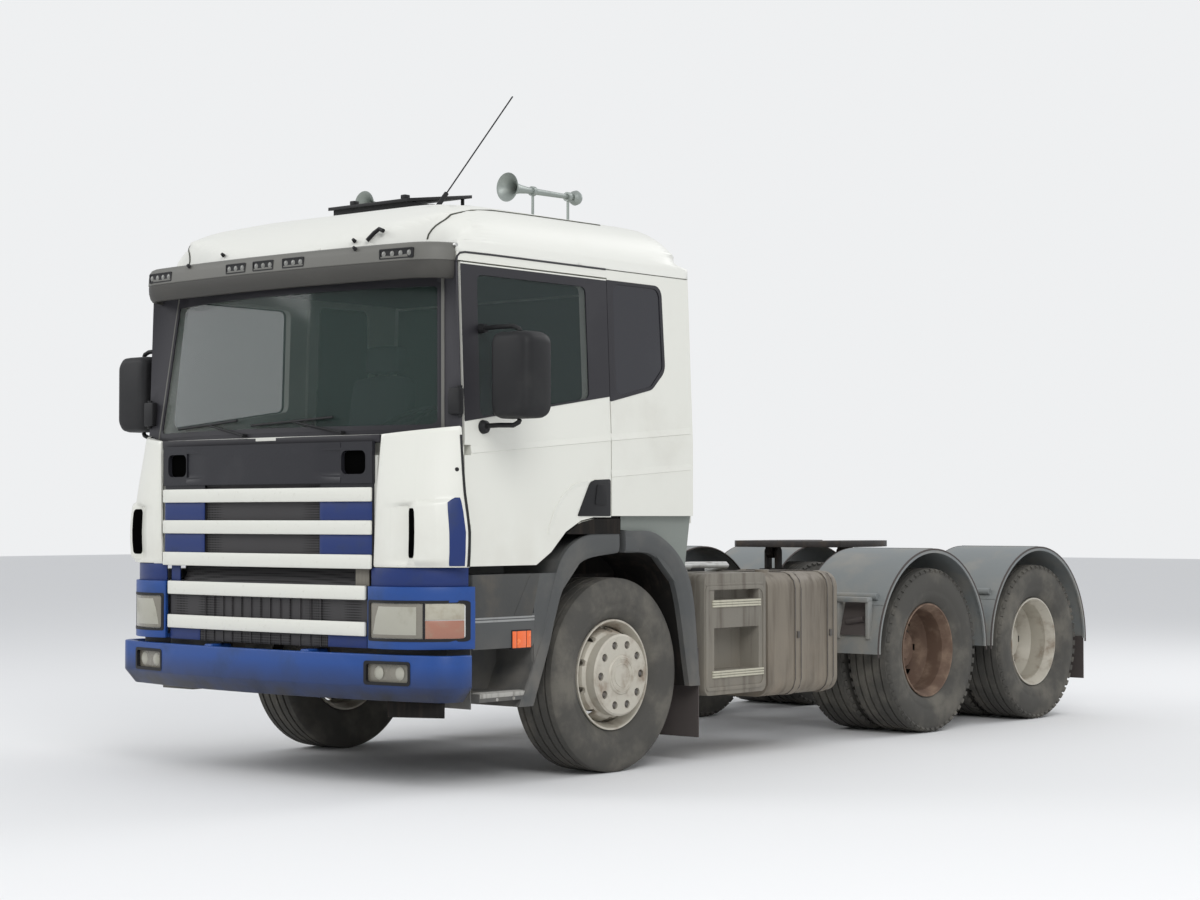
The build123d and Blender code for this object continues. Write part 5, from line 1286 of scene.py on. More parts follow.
@dataclass
class CabSides:
    """Window surrounds, creases, handles and seams on both sides of the cab."""

    door_window: tuple[Plan, ...] = ((-1.122, 1.879), (-0.268, 2.006), (-0.272, 2.6), (-1.116, 2.6))
    door_surround: tuple[Plan, ...] = ((-1.2345, 1.853), (-0.098, 2.021), (-0.098, 2.647), (-1.2345, 2.647))
    quarter_window: tuple[Plan, ...] = ((-0.044, 2.021), (0.2595, 2.0905), (0.366, 2.193), (0.354, 2.634),
                                        (-0.048, 2.634))
    quarter_surround: tuple[Plan, ...] = ((-0.094, 1.994), (0.268, 2.073), (0.389, 2.18), (0.377, 2.652),
                                          (-0.094, 2.652))
    crease: tuple[Plan, ...] = ((-1.19, 1.692), (-0.098, 1.783), (-0.094, 1.7833), (0.6, 1.838))
    arch: tuple[Plan, ...] = ((-0.61, 1.29), (-0.604, 1.318), (-0.56, 1.411), (-0.489, 1.493), (-0.43, 1.537),
                              (-0.382, 1.558), (-0.3, 1.568), (-0.11, 1.584))
    handle: tuple[Plan, ...] = ((-0.374, 1.38), (-0.105, 1.38), (-0.105, 1.578), (-0.235, 1.573),
                                (-0.272, 1.56))
    handle_radii: tuple[float, ...] = (0.006, 0.006, 0.012, 0.02, 0.03)
    hook: tuple[Plan, ...] = ((-0.24, 1.44), (-0.14, 1.44), (-0.14, 1.55), (-0.22, 1.55))
    rail: tuple[Plan, ...] = ((-1.262, 2.655), (-1.255, 2.682), (-1.235, 2.699), (-1.2, 2.706),
                              (-1.0, 2.7085), (-0.1, 2.7085))
    roof_seam: tuple[Plan, ...] = ((-0.098, 2.7085), (0.3, 2.7085), (0.61, 2.7085))
    rubber_levels: tuple[float, ...] = (1.13, 1.5, 1.795, 1.85, 2.2, 2.64)
    pillar_levels: Plan = (1.8, 2.66)

    def build(self) -> None:
        """Dress both sides."""
        for name, side in SIDES.items():
            self._door(name, side)
            self._cab(name, side)

    def _door(self, name: str, side: int) -> None:
        """Dress one door.

        Args:
            name: The side's name.
            side: 1 on the left, -1 on the right.
        """
        body, lay = f"door_{name}", flank(side)
        trim, creases, handle = Sketch(), Sketch(), Sketch()
        trim.frame(lay, rounded(list(self.door_surround), 0.004, 5),
                   rounded(list(self.door_window), 0.036, 5), (-0.002, 0.006))
        trim.piece(f"door_surround_{name}", TRIM_BLACK, body, "black_plastic")
        self._ledge(creases, lay, list(self.crease[:2]), 0.04, 0.004)
        self._ledge(creases, lay, list(self.arch), -0.03, 0.0035)
        creases.piece(f"door_creases_{name}", PAINT, body, "cab_paint", sharp=50)
        outline = rounded(list(self.handle), self.handle_radii)
        handle.plate([lay(spot, 0.004) for spot in outline], (side * 0.011, 0, 0), 0.003)
        handle.plate([lay(spot, -0.006) for spot in rounded(list(self.hook), 0.012)], (side * 0.006, 0, 0),
                     0.002)
        handle.piece(f"door_handle_{name}", BLACK, body, "black_plastic")
        # Door card in the same dark lining colour, partly painted shade.
        card = Sketch()
        card.block((side * 1.158, behind(-1.15), 1.44), (side * 1.1635, behind(-0.18), 1.85), 0.003)
        card.piece(f"door_card_{name}", LINING_AND_SHADE, body, "black_plastic")

    def _cab(self, name: str, side: int) -> None:
        """Dress the cab's side behind and around the door.

        Args:
            name: The side's name.
            side: 1 on the left, -1 on the right.
        """
        lay = flank(side)
        trim, creases, seams, rubber, pillar, strip = (Sketch() for _ in range(6))
        pane = Sketch()
        outline = rounded(list(self.quarter_window), 0.05, 6)
        around = rounded(list(self.quarter_surround), (0.01, 0.09, 0.09, 0.06, 0.004), 6)
        trim.frame(lay, around, outline, (-0.002, 0.006))
        trim.piece(f"quarter_surround_{name}", TRIM_BLACK, "cab", "black_plastic")
        pane.plate([lay(spot, 0.0045) for spot in outline], (side * 0.002, 0, 0))
        pane.piece(f"quarter_pane_{name}", QUARTER, "cab", "clear_glass")
        self._ledge(creases, lay, list(self.crease[2:]), 0.04, 0.004)
        self._ledge(creases, lay, [(-0.09, 1.588), (0.6, 1.637)], 0.04, 0.003)
        creases.piece(f"side_creases_{name}", PAINT, "cab", "cab_paint", sharp=50)
        seams.tube([lay(spot, 0.0) for spot in self.rail], 0.0055)
        seams.piece(f"drip_rail_{name}", TRIM_BLACK, "cab", "black_plastic")
        seams = Sketch()
        seams.tube([lay(spot, 0.001) for spot in self.roof_seam], 0.0028)
        seams.piece(f"roof_seam_{name}", SEAM, "cab", "black_plastic")
        rubber.strip(lay, [((-1.2585, z), (-1.2505, z)) for z in self.rubber_levels], (0.0015, 0.012))
        rubber.piece(f"door_front_rubber_{name}", BLACK, "cab", "black_plastic")
        rows, light = [], []
        for level in spread(*self.pillar_levels, 8):
            share = lean_share(level)
            inner = Vector((1.125 - SCREEN_NARROWING * share, behind(-1.2705 + SCREEN_SLOPE * share)))
            outer = Vector((side_x(level), behind(-1.2605)))
            rim, edge = inner.x - 0.048, inner.x
            rows.append([(side * x, y, level) for x, y in (
                (rim, screen_y(rim, level) - 0.0025), (inner.x, inner.y - 0.0025),
                (outer.x - 0.004, outer.y - 0.0025), (outer.x + 0.002, outer.y + 0.003),
                (outer.x + 0.002, outer.y + 0.005), (outer.x - 0.006, outer.y + 0.005),
                (inner.x, inner.y + 0.006), (rim, screen_y(rim, level) + 0.006))])
            light.append([(side * x, screen_y(x, level) + inset, level) for x, inset in (
                (edge - 0.026, -0.0055), (edge - 0.01, -0.0055), (edge - 0.01, 0.003),
                (edge - 0.026, 0.003))])
        pillar.skin(rows)
        pillar.piece(f"pillar_panel_{name}", PILLAR, "cab", "black_plastic", sharp=50)
        strip.skin(light, 0.001)
        strip.piece(f"pillar_strip_{name}", PILLAR_STRIP, "cab", "grey_plastic")
        hinge = Sketch()
        hinge.block((side * 1.15, behind(-1.292), 1.887), (side * 1.226, behind(-1.25), 2.02), 0.008)
        hinge.rod((side * 1.205, behind(-1.262), 1.875), (side * 1.205, behind(-1.262), 2.032), 0.014)
        hinge.piece(f"mirror_hinge_{name}", BLACK, "cab", "black_plastic")

    def _ledge(self, sketch: Sketch, lay: Lay, line: list[Plan], width: float, proud: float) -> None:
        """Add a long crease that ends in a step.

        Args:
            sketch: The mesh in the making.
            lay: The surface.
            line: The step's line.
            width: Width of the ramp, above the line or, if negative, below it.
            proud: Height of the step.
        """
        rows = []
        for index, spot in enumerate(line):
            way = Vector(line[min(index + 1, len(line) - 1)]) - Vector(line[max(index - 1, 0)])
            across = Vector((-way.y, way.x)).normalized() * width
            high, near = Vector(spot) + across, Vector(spot) + across * 0.06
            rows.append([lay(tuple(high), 0.0005), lay(tuple(near), -proud), lay(spot, 0.0005),
                         lay(spot, 0.005), lay(tuple(high), 0.005)])
        sketch.skin(rows)


@dataclass
class Windscreen:
    """Rubber round the windscreen, with a black band under the visor that is partly painted shadow, and the
    dark lining that shows behind it, its darkness partly painted shade.
    """

    corners: tuple[Plan, ...] = ((-1.098, 1.822), (1.098, 1.822), (1.034, 2.562), (-1.034, 2.562))
    bands: tuple[tuple[float, float, float], ...] = ((1.752, 1.822, 1.1), (2.56, 2.675, 1.03))
    foot_half: float = 0.845
    lining_levels: Plan = (1.38, 2.66)

    def build(self) -> None:
        """Build the rubber frame and the lining."""
        seal = Sketch()
        outer = [(x * 1.006, z + (0.008 if z > 2 else -0.008)) for x, z in self.corners]
        inner = [(x * 0.983, z + (-0.018 if z > 2 else 0.018)) for x, z in self.corners]
        seal.frame(screen, rounded(outer, 0.056, 6, 14), rounded(inner, 0.04, 6, 14), (-0.0035, 0.004))
        # The upper band under the visor stands for black frit and the visor's shadow: partly painted shadow.
        for low, high, half in self.bands:
            seal.strip(screen, [((x, low), (x, high)) for x in spread(-half, half, 24)], (-0.0025, 0.004))
        half = self.foot_half
        foot = Bow.through((-half, -1.4655), (0.0, -1.4695), (half, -1.4655))
        seal.wall(foot, (-half, half), (1.752, 1.79), (0.0, 0.014), 0.002, 16)
        seal.piece("windscreen_rubber_and_shade_band", TRIM_BLACK, "cab", "black_plastic")
        # Lining in the dark colour that stands for the shade inside the cab: partly painted shade.
        lining = Sketch()
        low, high = self.lining_levels
        lining.block((-1.125, behind(0.598), low), (1.125, behind(0.606), high), 0.004)
        lining.block((-1.06, behind(-1.12), 2.672), (1.06, behind(0.596), 2.68), 0.004)
        for side in SIDES.values():
            lining.block((side * 1.126, behind(-0.06), low), (side * 1.132, behind(0.59), high), 0.002)
        lining.piece("cab_lining", LINING_AND_SHADE, "cab", "black_plastic")


@dataclass
class SunVisor:
    """Moulded sun visor over the windscreen, with its lamps."""

    upper: tuple[Plan, ...] = ((0.05, 2.756), (0.034, 2.754), (0.018, 2.747), (0.008, 2.733), (0.003, 2.71),
                               (0.0, 2.664), (0.004, 2.66), (0.024, 2.66), (0.026, 2.71), (0.05, 2.742))
    lip: tuple[Plan, ...] = ((0.003, 2.659), (0.002, 2.65), (0.004, 2.62), (0.012, 2.59), (0.024, 2.574),
                             (0.035, 2.571), (0.045, 2.573), (0.035, 2.59), (0.024, 2.62), (0.022, 2.659))
    lamps: tuple[tuple[float, float, int], ...] = ((0.812, 1.028, 4), (-1.028, -0.812, 4), (0.13, 0.29, 3),
                                                   (-0.1, 0.06, 3), (-0.32, -0.16, 3))

    def build(self) -> None:
        """Build the visor in two mouldings, the lip darker as painted shade, and fit its lamps."""
        # The lip takes a darker finish than the upper part: painted shade on the same plastic.
        for name, section, finish, replaces in (
            ("visor_upper", self.upper, VISOR, ("sun_visor",)), ("visor_lip", self.lip, VISOR_LIP_SHADED, ()),
        ):
            shell = Sketch()
            shell.skin([[self._place(way, stretch, inset, z) for inset, z in section]
                        for way, stretch in self._stations()])
            shell.piece(name, finish, "cab", "visor_plastic", replaces, 30.0)
        cases, lenses, screws = Sketch(), Sketch(), Sketch()
        for first, last, count in self.lamps:
            outer = rounded(oblong((first, last), (2.672, 2.724)), 0.006, 3, 3)
            inner = rounded(oblong((first + 0.006, last - 0.006), (2.678, 2.718)), 0.005, 3, 3)
            cases.frame(VISOR_FRONT.lay, outer, inner, (-0.001, 0.012))
            cases.strip(VISOR_FRONT.lay,
                        [((x, 2.676), (x, 2.72)) for x in (first + 0.004, (first + last) / 2, last - 0.004)],
                        (0.0015, 0.009))
            half = (last - first) / (2 * count)
            for x in spread(first + half, last - half, count - 1):
                lenses.lathe([(0.0, 0.0005), (-0.005, 0.0005), (-0.004, 0.01), (0.0, 0.015)],
                             VISOR_FRONT.lay((x, 2.698), 0.002), 1, 18, "Y")
        cases.piece("visor_lamp_cases", BLACK, "cab", "black_plastic")
        lenses.piece("visor_lamps", VISOR_LAMP, "cab", "lamp_lens")
        for side in SIDES.values():
            screws.rod((side * 1.16, behind(-1.254), 2.739), (side * 1.1765, behind(-1.256), 2.739), 0.011,
                       0.009)
        screws.piece("visor_screws", CHROME, "cab", "visor_plastic")

    def _stations(self) -> list[tuple[float, str]]:
        """Name the places along the visor at which its section stands.

        Returns:
            Pairs of an X or a distance and the stretch it lies on.
        """
        ends = [0.0, 0.3, 0.6, 0.85, 1.0]
        corner = [0.12, 0.25, 0.38, 0.5, 0.62, 0.75, 0.88, 1.0]
        right = [(share, "right_side") for share in ends[::-1]]
        right += [(share, "right_corner") for share in corner[::-1]]
        front = [(x, "front") for x in spread(-0.95, 0.95, 20)]
        left = [(share, "left_corner") for share in corner] + [(share, "left_side") for share in ends]
        return right + front + left

    def _place(self, way: float, stretch: str, inset: float, level: float) -> Place:
        """Find a place on the visor.

        Args:
            way: The station along its stretch.
            stretch: The stretch's name.
            inset: How far inside the outer face.
            level: Its height.

        Returns:
            The place.
        """
        if stretch == "front":
            return VISOR_FRONT.lay((way, level), inset)
        side = 1 if stretch.startswith("left") else -1
        if stretch.endswith("corner"):
            x, y = VISOR_CORNER.at(way, inset)
        else:
            x, y = 1.171 - inset, behind(-1.224 + 0.02 * way)
        return (side * x, y, level)


@dataclass
class Mirrors:
    """Rounded mirror heads on bent arms, one on each door."""

    head: Plan = (1.338, 1.595)
    depth: Plan = (-1.196, -1.008)
    levels: Plan = (1.864, 2.297)
    arm: float = -1.1
    arms: tuple[Plan, ...] = ((2.326, 2.3), (1.832, 1.86))
    boss: tuple[Plan, ...] = ((0.0, 0.001), (0.03, 0.001), (0.032, 0.02), (0.022, 0.032), (0.0, 0.036))
    rim: float = 0.022
    swell: tuple[Plan, ...] = ((0.0, 0.035), (0.04, 0.017), (0.12, 0.006), (0.3, 0.0), (0.7, 0.0),
                               (0.9, 0.003), (1.0, 0.008))

    def build(self) -> None:
        """Build both mirrors."""
        for name, side in SIDES.items():
            shell, glass = Sketch(), Sketch()
            (x0, x1), (d0, d1), (z0, z1) = self.head, self.depth, self.levels
            rows = []
            for share, shrink in self.swell:
                y = behind(d0 + (d1 - d0) * share)
                outline = rounded(oblong((x0 + shrink, x1 - shrink), (z0 + shrink, z1 - shrink)),
                                  (0.05, 0.06, 0.06, 0.05), 6, 3)
                rows.append([(side * x, y, z) for x, z in outline])
            shell.skin(rows)
            for level, bend in self.arms:
                arm = [(1.2, level), (1.32, level + 0.003), (1.42, level), (1.455, (level + bend) / 2),
                       (1.462, bend)]
                spots = [(side * x, behind(self.arm), z) for x, z in arm]
                shell.tube(spots, 0.0125, 12)
                shell.rod(spots[0], (side * 1.232, behind(self.arm), level), 0.026, 0.021)
            shell.lathe(list(self.boss), (side * 1.212, behind(self.arm), 1.828), side, 24)
            shell.piece(f"mirror_housing_{name}", BLACK, f"door_{name}", "black_plastic", (f"mirror_{name}",),
                        40.0)
            rim = self.rim
            face = rounded(oblong((x0 + rim, x1 - rim), (z0 + rim, z1 - rim)), 0.045, 6)
            glass.plate([(side * x, behind(d1 - 0.003), z) for x, z in face], (0, 0.004, 0), 0.001)
            glass.piece(f"mirror_glass_{name}", MIRROR_GLASS, f"door_{name}", "clear_glass")


@dataclass
class RoofTop:
    """Seams, catches, horns and the aerial on the roof."""

    seam: tuple[Place, ...] = (
        (0.932, -1.222, 2.79), (0.936, -1.218, 2.815), (0.95, -1.212, 2.84), (0.968, -1.205, 2.862),
        (0.992, -1.195, 2.885), (1.016, -1.18, 2.903), (1.034, -1.15, 2.92), (1.042, -1.09, 2.94),
        (1.044, -1.0, 2.955), (1.04, -0.85, 2.975), (1.034, -0.6, 2.99), (1.028, -0.3, 2.995),
        (1.02, 0.05, 2.99))
    catch: tuple[Place, ...] = (
        (0.6, -1.318, 2.797), (0.632, -1.3, 2.835), (0.66, -1.29, 2.855), (0.695, -1.295, 2.842))
    buttons: tuple[Place, ...] = (
        (0.513, -1.33, 2.803), (0.648, -1.456, 2.741), (-0.513, -1.33, 2.803), (-0.648, -1.456, 2.741))
    relax_from: float = 2.775
    facet: float = 0.06
    horn_x: float = 0.565
    horn_level: float = 3.197
    horn_flare: tuple[Plan, ...] = (
        (-0.211, 0.081), (-0.205, 0.074), (-0.195, 0.062), (-0.18, 0.047), (-0.15, 0.033), (-0.11, 0.025),
        (-0.05, 0.019), (0.34, 0.013))
    horn_drum: tuple[Plan, ...] = (
        (0.345, 0.001), (0.337, 0.022), (0.348, 0.038), (0.366, 0.0435), (0.386, 0.036), (0.389, 0.001))
    horn_feet: Plan = (0.0, 0.3)
    horn_wall: Plan = (0.002, 0.004)
    near_top: float = 2.9
    passes: int = 30
    tree: BVHTree | None = None

    def build(self, nodes: Nodes) -> None:
        """Dress the roof.

        Args:
            nodes: The CAD nodes by name.
        """
        roof = self._relaxed(nodes["roof_shell"])
        self.tree = BVHTree.FromBMesh(roof.bm)
        roof.piece("roof_moulding", ROOF, "cab", "cab_paint", ("roof_shell",), 60.0)
        seams, black, hatch = Sketch(), Sketch(), Sketch()
        line = [self.tree.find_nearest(Vector((x, behind(d), z)))[0] for x, d, z in self.seam]
        seams.tube([tuple(place) for place in line], 0.005, 8)
        seams.piece("roof_front_seams", SEAM, "cab", "black_plastic", both=True)
        black.tube([(x, behind(d), z) for x, d, z in self.catch], 0.011)
        for x, d, z in self.buttons:
            black.rod((x, behind(d + 0.01), z - 0.004), (x, behind(d - 0.006), z + 0.006), 0.011, 0.008)
        black.piece("roof_catches", BLACK, "cab", "black_plastic")
        hatch.softened(nodes["roof_hatch"], 0.008)
        hatch.piece("roof_hatch_lid", BLACK, "cab", "black_plastic", ("roof_hatch",))
        blocks = Sketch()
        lid = BVHTree.FromPolygons([vert.co[:] for vert in nodes["roof_hatch"].data.vertices],
                                   [face.vertices[:] for face in nodes["roof_hatch"].data.polygons])
        for x in (-0.2, 0.2):
            top = lid.ray_cast(Vector((x, behind(-0.64), 4.0)), Vector((0, 0, -1)))[0].z
            blocks.block((x - 0.018, behind(-0.66), top - 0.006), (x + 0.018, behind(-0.62), top + 0.024),
                         0.004)
        blocks.piece("roof_hatch_stops", BLACK, "cab", "black_plastic")
        self._horns()
        self._aerial()

    def _relaxed(self, node: bpy.types.Object) -> Sketch:
        """Take the roof's shape and relax its flats into one moulding.

        Args:
            node: The CAD node.

        Returns:
            The mesh in the making.
        """
        roof = Sketch()
        roof.bm.from_mesh(node.data)
        bmesh.ops.remove_doubles(roof.bm, verts=roof.bm.verts, dist=MERGE)
        for _ in range(6):
            long = [edge for edge in roof.bm.edges if edge.calc_length() > self.facet]
            if long:
                bmesh.ops.subdivide_edges(roof.bm, edges=long, cuts=1)
                bmesh.ops.triangulate(roof.bm, faces=[face for face in roof.bm.faces if len(face.verts) > 3])
        bmesh.ops.remove_doubles(roof.bm, verts=roof.bm.verts, dist=1e-4)
        bmesh.ops.dissolve_degenerate(roof.bm, edges=roof.bm.edges, dist=1e-4)
        free = [vert for vert in roof.bm.verts if vert.co.z > self.relax_from]
        for _ in range(self.passes):
            bmesh.ops.smooth_vert(roof.bm, verts=free, factor=0.5, use_axis_x=True, use_axis_y=True,
                                  use_axis_z=True)
        bmesh.ops.recalc_face_normals(roof.bm, faces=roof.bm.faces)
        return roof

    def _top(self, x: float, distance: float, lift: float) -> Place:
        """Find the roof's surface under a place.

        Args:
            x: Across the truck.
            distance: Distance behind the front axle.
            lift: Height above the surface.

        Returns:
            The place.
        """
        hit = self.tree.ray_cast(Vector((x, behind(distance), 4.0)), Vector((0, 0, -1)))[0]
        if hit is None:
            hit = self.tree.find_nearest(Vector((x, behind(distance), self.near_top)))[0]
        return (x, behind(distance), hit.z + lift)

    def _horns(self) -> None:
        """Build two hollow trumpets with their drums and feet."""
        horns = Sketch()
        for side in SIDES.values():
            x, z = side * self.horn_x, self.horn_level
            inside = [(a + self.horn_wall[0], r - self.horn_wall[1]) for a, r in self.horn_flare[:-1]]
            profile = [*self.horn_flare, (0.34, 0.001), (-0.04, 0.001), *inside[::-1]]
            horns.lathe(profile, (x, behind(0), z), 1, 36, "Y")
            horns.lathe(list(self.horn_drum), (x, behind(0), z), 1, 28, "Y")
            for distance in self.horn_feet:
                low = self._top(x, distance, -0.01)
                horns.tube([low, (x, low[1], (low[2] + z) / 2), (x, low[1], z - 0.01)], 0.008)
                horns.rod(low, (x, low[1], low[2] + 0.018), 0.026, 0.02)
                horns.lathe([(-0.012, 0.016), (0.012, 0.016), (0.012, 0.027), (-0.012, 0.027)],
                            (x, low[1], z), 1, 20, "Y")
        horns.piece("air_horn_trumpets", HORN, "cab", "horn_metal", ("air_horns",))

    def _aerial(self) -> None:
        """Build the sprung foot at the aerial's base."""
        foot = Sketch()
        foot.rod((0.455, behind(-0.69), 3.0), (0.455, behind(-0.685), 3.06), 0.03, 0.018)
        foot.piece("aerial_boot", BLACK, "cab", "black_plastic")


@dataclass
class StepsAndFlares:
    """Entry steps, marker lamps and the grey flares round the front wheels."""

    soft: tuple[tuple[str, str, str], ...] = (
        ("cab_steps", "cab", "front_flares_and_steps"), ("rear_flares", "chassis", "rear_flares_moulded"))
    rear_outer: tuple[Plan, ...] = ((0.026, 1.298), (0.332, 1.269), (0.6, 1.022), (0.69, 0.434))
    rear_inner: tuple[Plan, ...] = ((0.026, 1.196), (0.28, 1.175), (0.478, 1.0), (0.61, 0.434))
    front_outer: tuple[Plan, ...] = ((-0.026, 1.298), (-0.263, 1.284), (-0.489, 1.149), (-0.64, 0.76),
                                     (-0.816, 0.405))
    front_inner: tuple[Plan, ...] = ((-0.026, 1.196), (-0.33, 1.15), (-0.495, 0.985), (-0.6, 0.7),
                                     (-0.72, 0.405))
    sill: tuple[Plan, ...] = ((-0.46, 1.292), (-0.345, 1.347), (-0.24, 1.366), (-0.02, 1.3665),
                              (-0.02, 1.285), (-0.44, 1.285))
    riser: tuple[Plan, ...] = ((-1.165, 0.708), (-0.702, 0.708), (-0.695, 0.84), (-1.165, 0.84))
    riser_radii: tuple[float, ...] = (0.006, 0.03, 0.004, 0.006)
    panel: tuple[Plan, ...] = ((-1.168, 0.868), (-0.72, 0.868), (-0.66, 1.083), (-1.168, 1.083))
    crease: tuple[Plan, ...] = ((-0.86, 0.875), (-0.84, 0.875), (-0.72, 1.075), (-0.74, 1.075))
    tie: tuple[Plan, ...] = ((0.028, 1.3), (0.14, 1.292), (0.138, 1.186), (0.03, 1.194))
    markers: tuple[Plan, ...] = ((-0.873, -0.842), (-0.838, -0.769), (-0.765, -0.732))
    ledges: Plan = (0.842, 0.858)
    bolts: tuple[float, ...] = (-0.985, -0.86, -0.74)

    def build(self, nodes: Nodes) -> None:
        """Round the flares' edges and dress the steps.

        Args:
            nodes: The CAD nodes by name.
        """
        for node, body, name in self.soft:
            shell = Sketch()
            shell.softened(nodes[node], 0.006)
            shell.piece(name, GREY_PLASTIC, body, "grey_plastic", (node,), 45.0)
        riser, ledge, marker, case, metal, tie = (Sketch() for _ in range(6))
        face = rounded(list(self.riser), self.riser_radii)
        riser.plate([(1.185, behind(d), z) for d, z in face], (0.02, 0, 0), 0.003)
        # Light-grey ledges at the step's top edge: partly wear, partly painted highlight.
        for low in self.ledges:
            ledge.block((1.15, behind(-1.165), low), (1.2065, behind(-0.7), low + 0.012), 0.003)
        ledge.block((1.15, behind(-1.165), 0.84), (1.2, behind(-0.7), 0.872), 0.001)
        case.block((1.19, behind(-0.879), 0.699), (1.2085, behind(-0.726), 0.799), 0.004)
        for d0, d1 in self.markers:
            marker.block((1.2, behind(d0), 0.706), (1.211, behind(d1), 0.792), 0.003)
        metal.block((1.14, behind(-1.112), 0.462), (1.208, behind(-0.702), 0.4865), 0.004)
        for step in range(5):
            metal.block((1.15 + 0.011 * step, behind(-1.105), 0.484),
                        (1.154 + 0.011 * step, behind(-0.71), 0.4895), 0.001)
        for d in self.bolts:
            metal.rod((1.2, behind(d), 0.452), (1.2075, behind(d), 0.452), 0.009, steps=12)
        outline = rounded(list(self.tie), 0.006)
        tie.plate([(1.21, behind(d), z) for d, z in outline], (0.005, 0, 0), 0.0015)
        panel, sill = Sketch(), Sketch()
        face = rounded(list(self.panel), 0.004)
        panel.plate([(1.2, behind(d), z) for d, z in face], (0.0075, 0, 0), 0.002)
        panel.plate([(1.206, behind(d), z) for d, z in self.crease], (0.0035, 0, 0), 0.001)
        sill.block((1.0, behind(-0.43), 1.285), (1.168, behind(0.14), 1.4), 0.006)
        sill.plate([(1.2155, behind(d), z) for d, z in self.sill], (0.001, 0, 0))
        self._arches()
        for sketch, name, finish, body, slot in (
            (panel, "step_upper_panels", STEP_PANEL, "cab", "grey_plastic"),
            (sill, "cab_dark_sills", LINER, "cab", "flap_rubber"),
            (riser, "step_risers", GREY_PLASTIC, "cab", "grey_plastic"),
            (ledge, "step_ledges", LEDGE_WEAR_AND_HIGHLIGHT, "cab", "grey_plastic"),
            (marker, "step_marker_lamps", MARKER, "cab", "lamp_lens"),
            (case, "step_marker_cases", BLACK, "cab", "black_plastic"),
            (metal, "low_step_metal", EDGE_METAL, "cab", "side_box_metal"),
            (tie, "flare_joining_plates", GREY_PLASTIC, "chassis", "grey_plastic"),
        ):
            sketch.piece(name, finish, body, slot, both=True)

    def _arches(self) -> None:
        """Build the rounded flares along the arches and the dark liners inside them."""
        for name, body, outer, inner in (("front", "cab", self.front_outer, self.front_inner),
                                         ("rear", "chassis", self.rear_outer, self.rear_inner)):
            flare, liner = Sketch(), Sketch()
            edge, hole = curve(list(outer), 28), curve(list(inner), 28)
            rows, lining = [], []
            for out, inn in zip(edge, hole):
                out, inn = Vector(out), Vector(inn)
                across = (out - inn).normalized()
                out, inn = out + across * 0.004, inn - across * 0.012
                spots = [(out, 1.18), (out, 1.205), (out - across * 0.008, 1.2125),
                         (out.lerp(inn, 0.35), 1.216), (out.lerp(inn, 0.7), 1.2165),
                         (inn + across * 0.012, 1.214), (inn, 1.205), (inn, 1.17),
                         (inn + across * 0.01, 1.17), (inn + across * 0.02, 1.195),
                         (out - across * 0.02, 1.195), (out - across * 0.008, 1.18)]
                rows.append([(x, behind(spot.x), spot.y) for spot, x in spots])
                lining.append([(x, behind(spot.x), spot.y) for spot, x in (
                    (inn, 1.172), (inn, 0.8), (inn + across * 0.004, 0.8), (inn + across * 0.004, 1.172))])
            flare.skin(rows)
            flare.piece(f"{name}_flare_bands", GREY_PLASTIC, body, "grey_plastic", sharp=40, both=True)
            liner.skin(lining)
            sign = math.copysign(1, outer[0][0])
            liner.block((0.785, behind(sign * 0.028), 1.06), (0.795, behind(sign * 0.42), 1.185))
            if body == "chassis":
                liner.block((0.52, behind(-0.75), 0.94), (0.528, behind(0.86), 1.128))
            liner.piece(f"{name}_arch_liners", LINER, body, "flap_rubber", both=True)


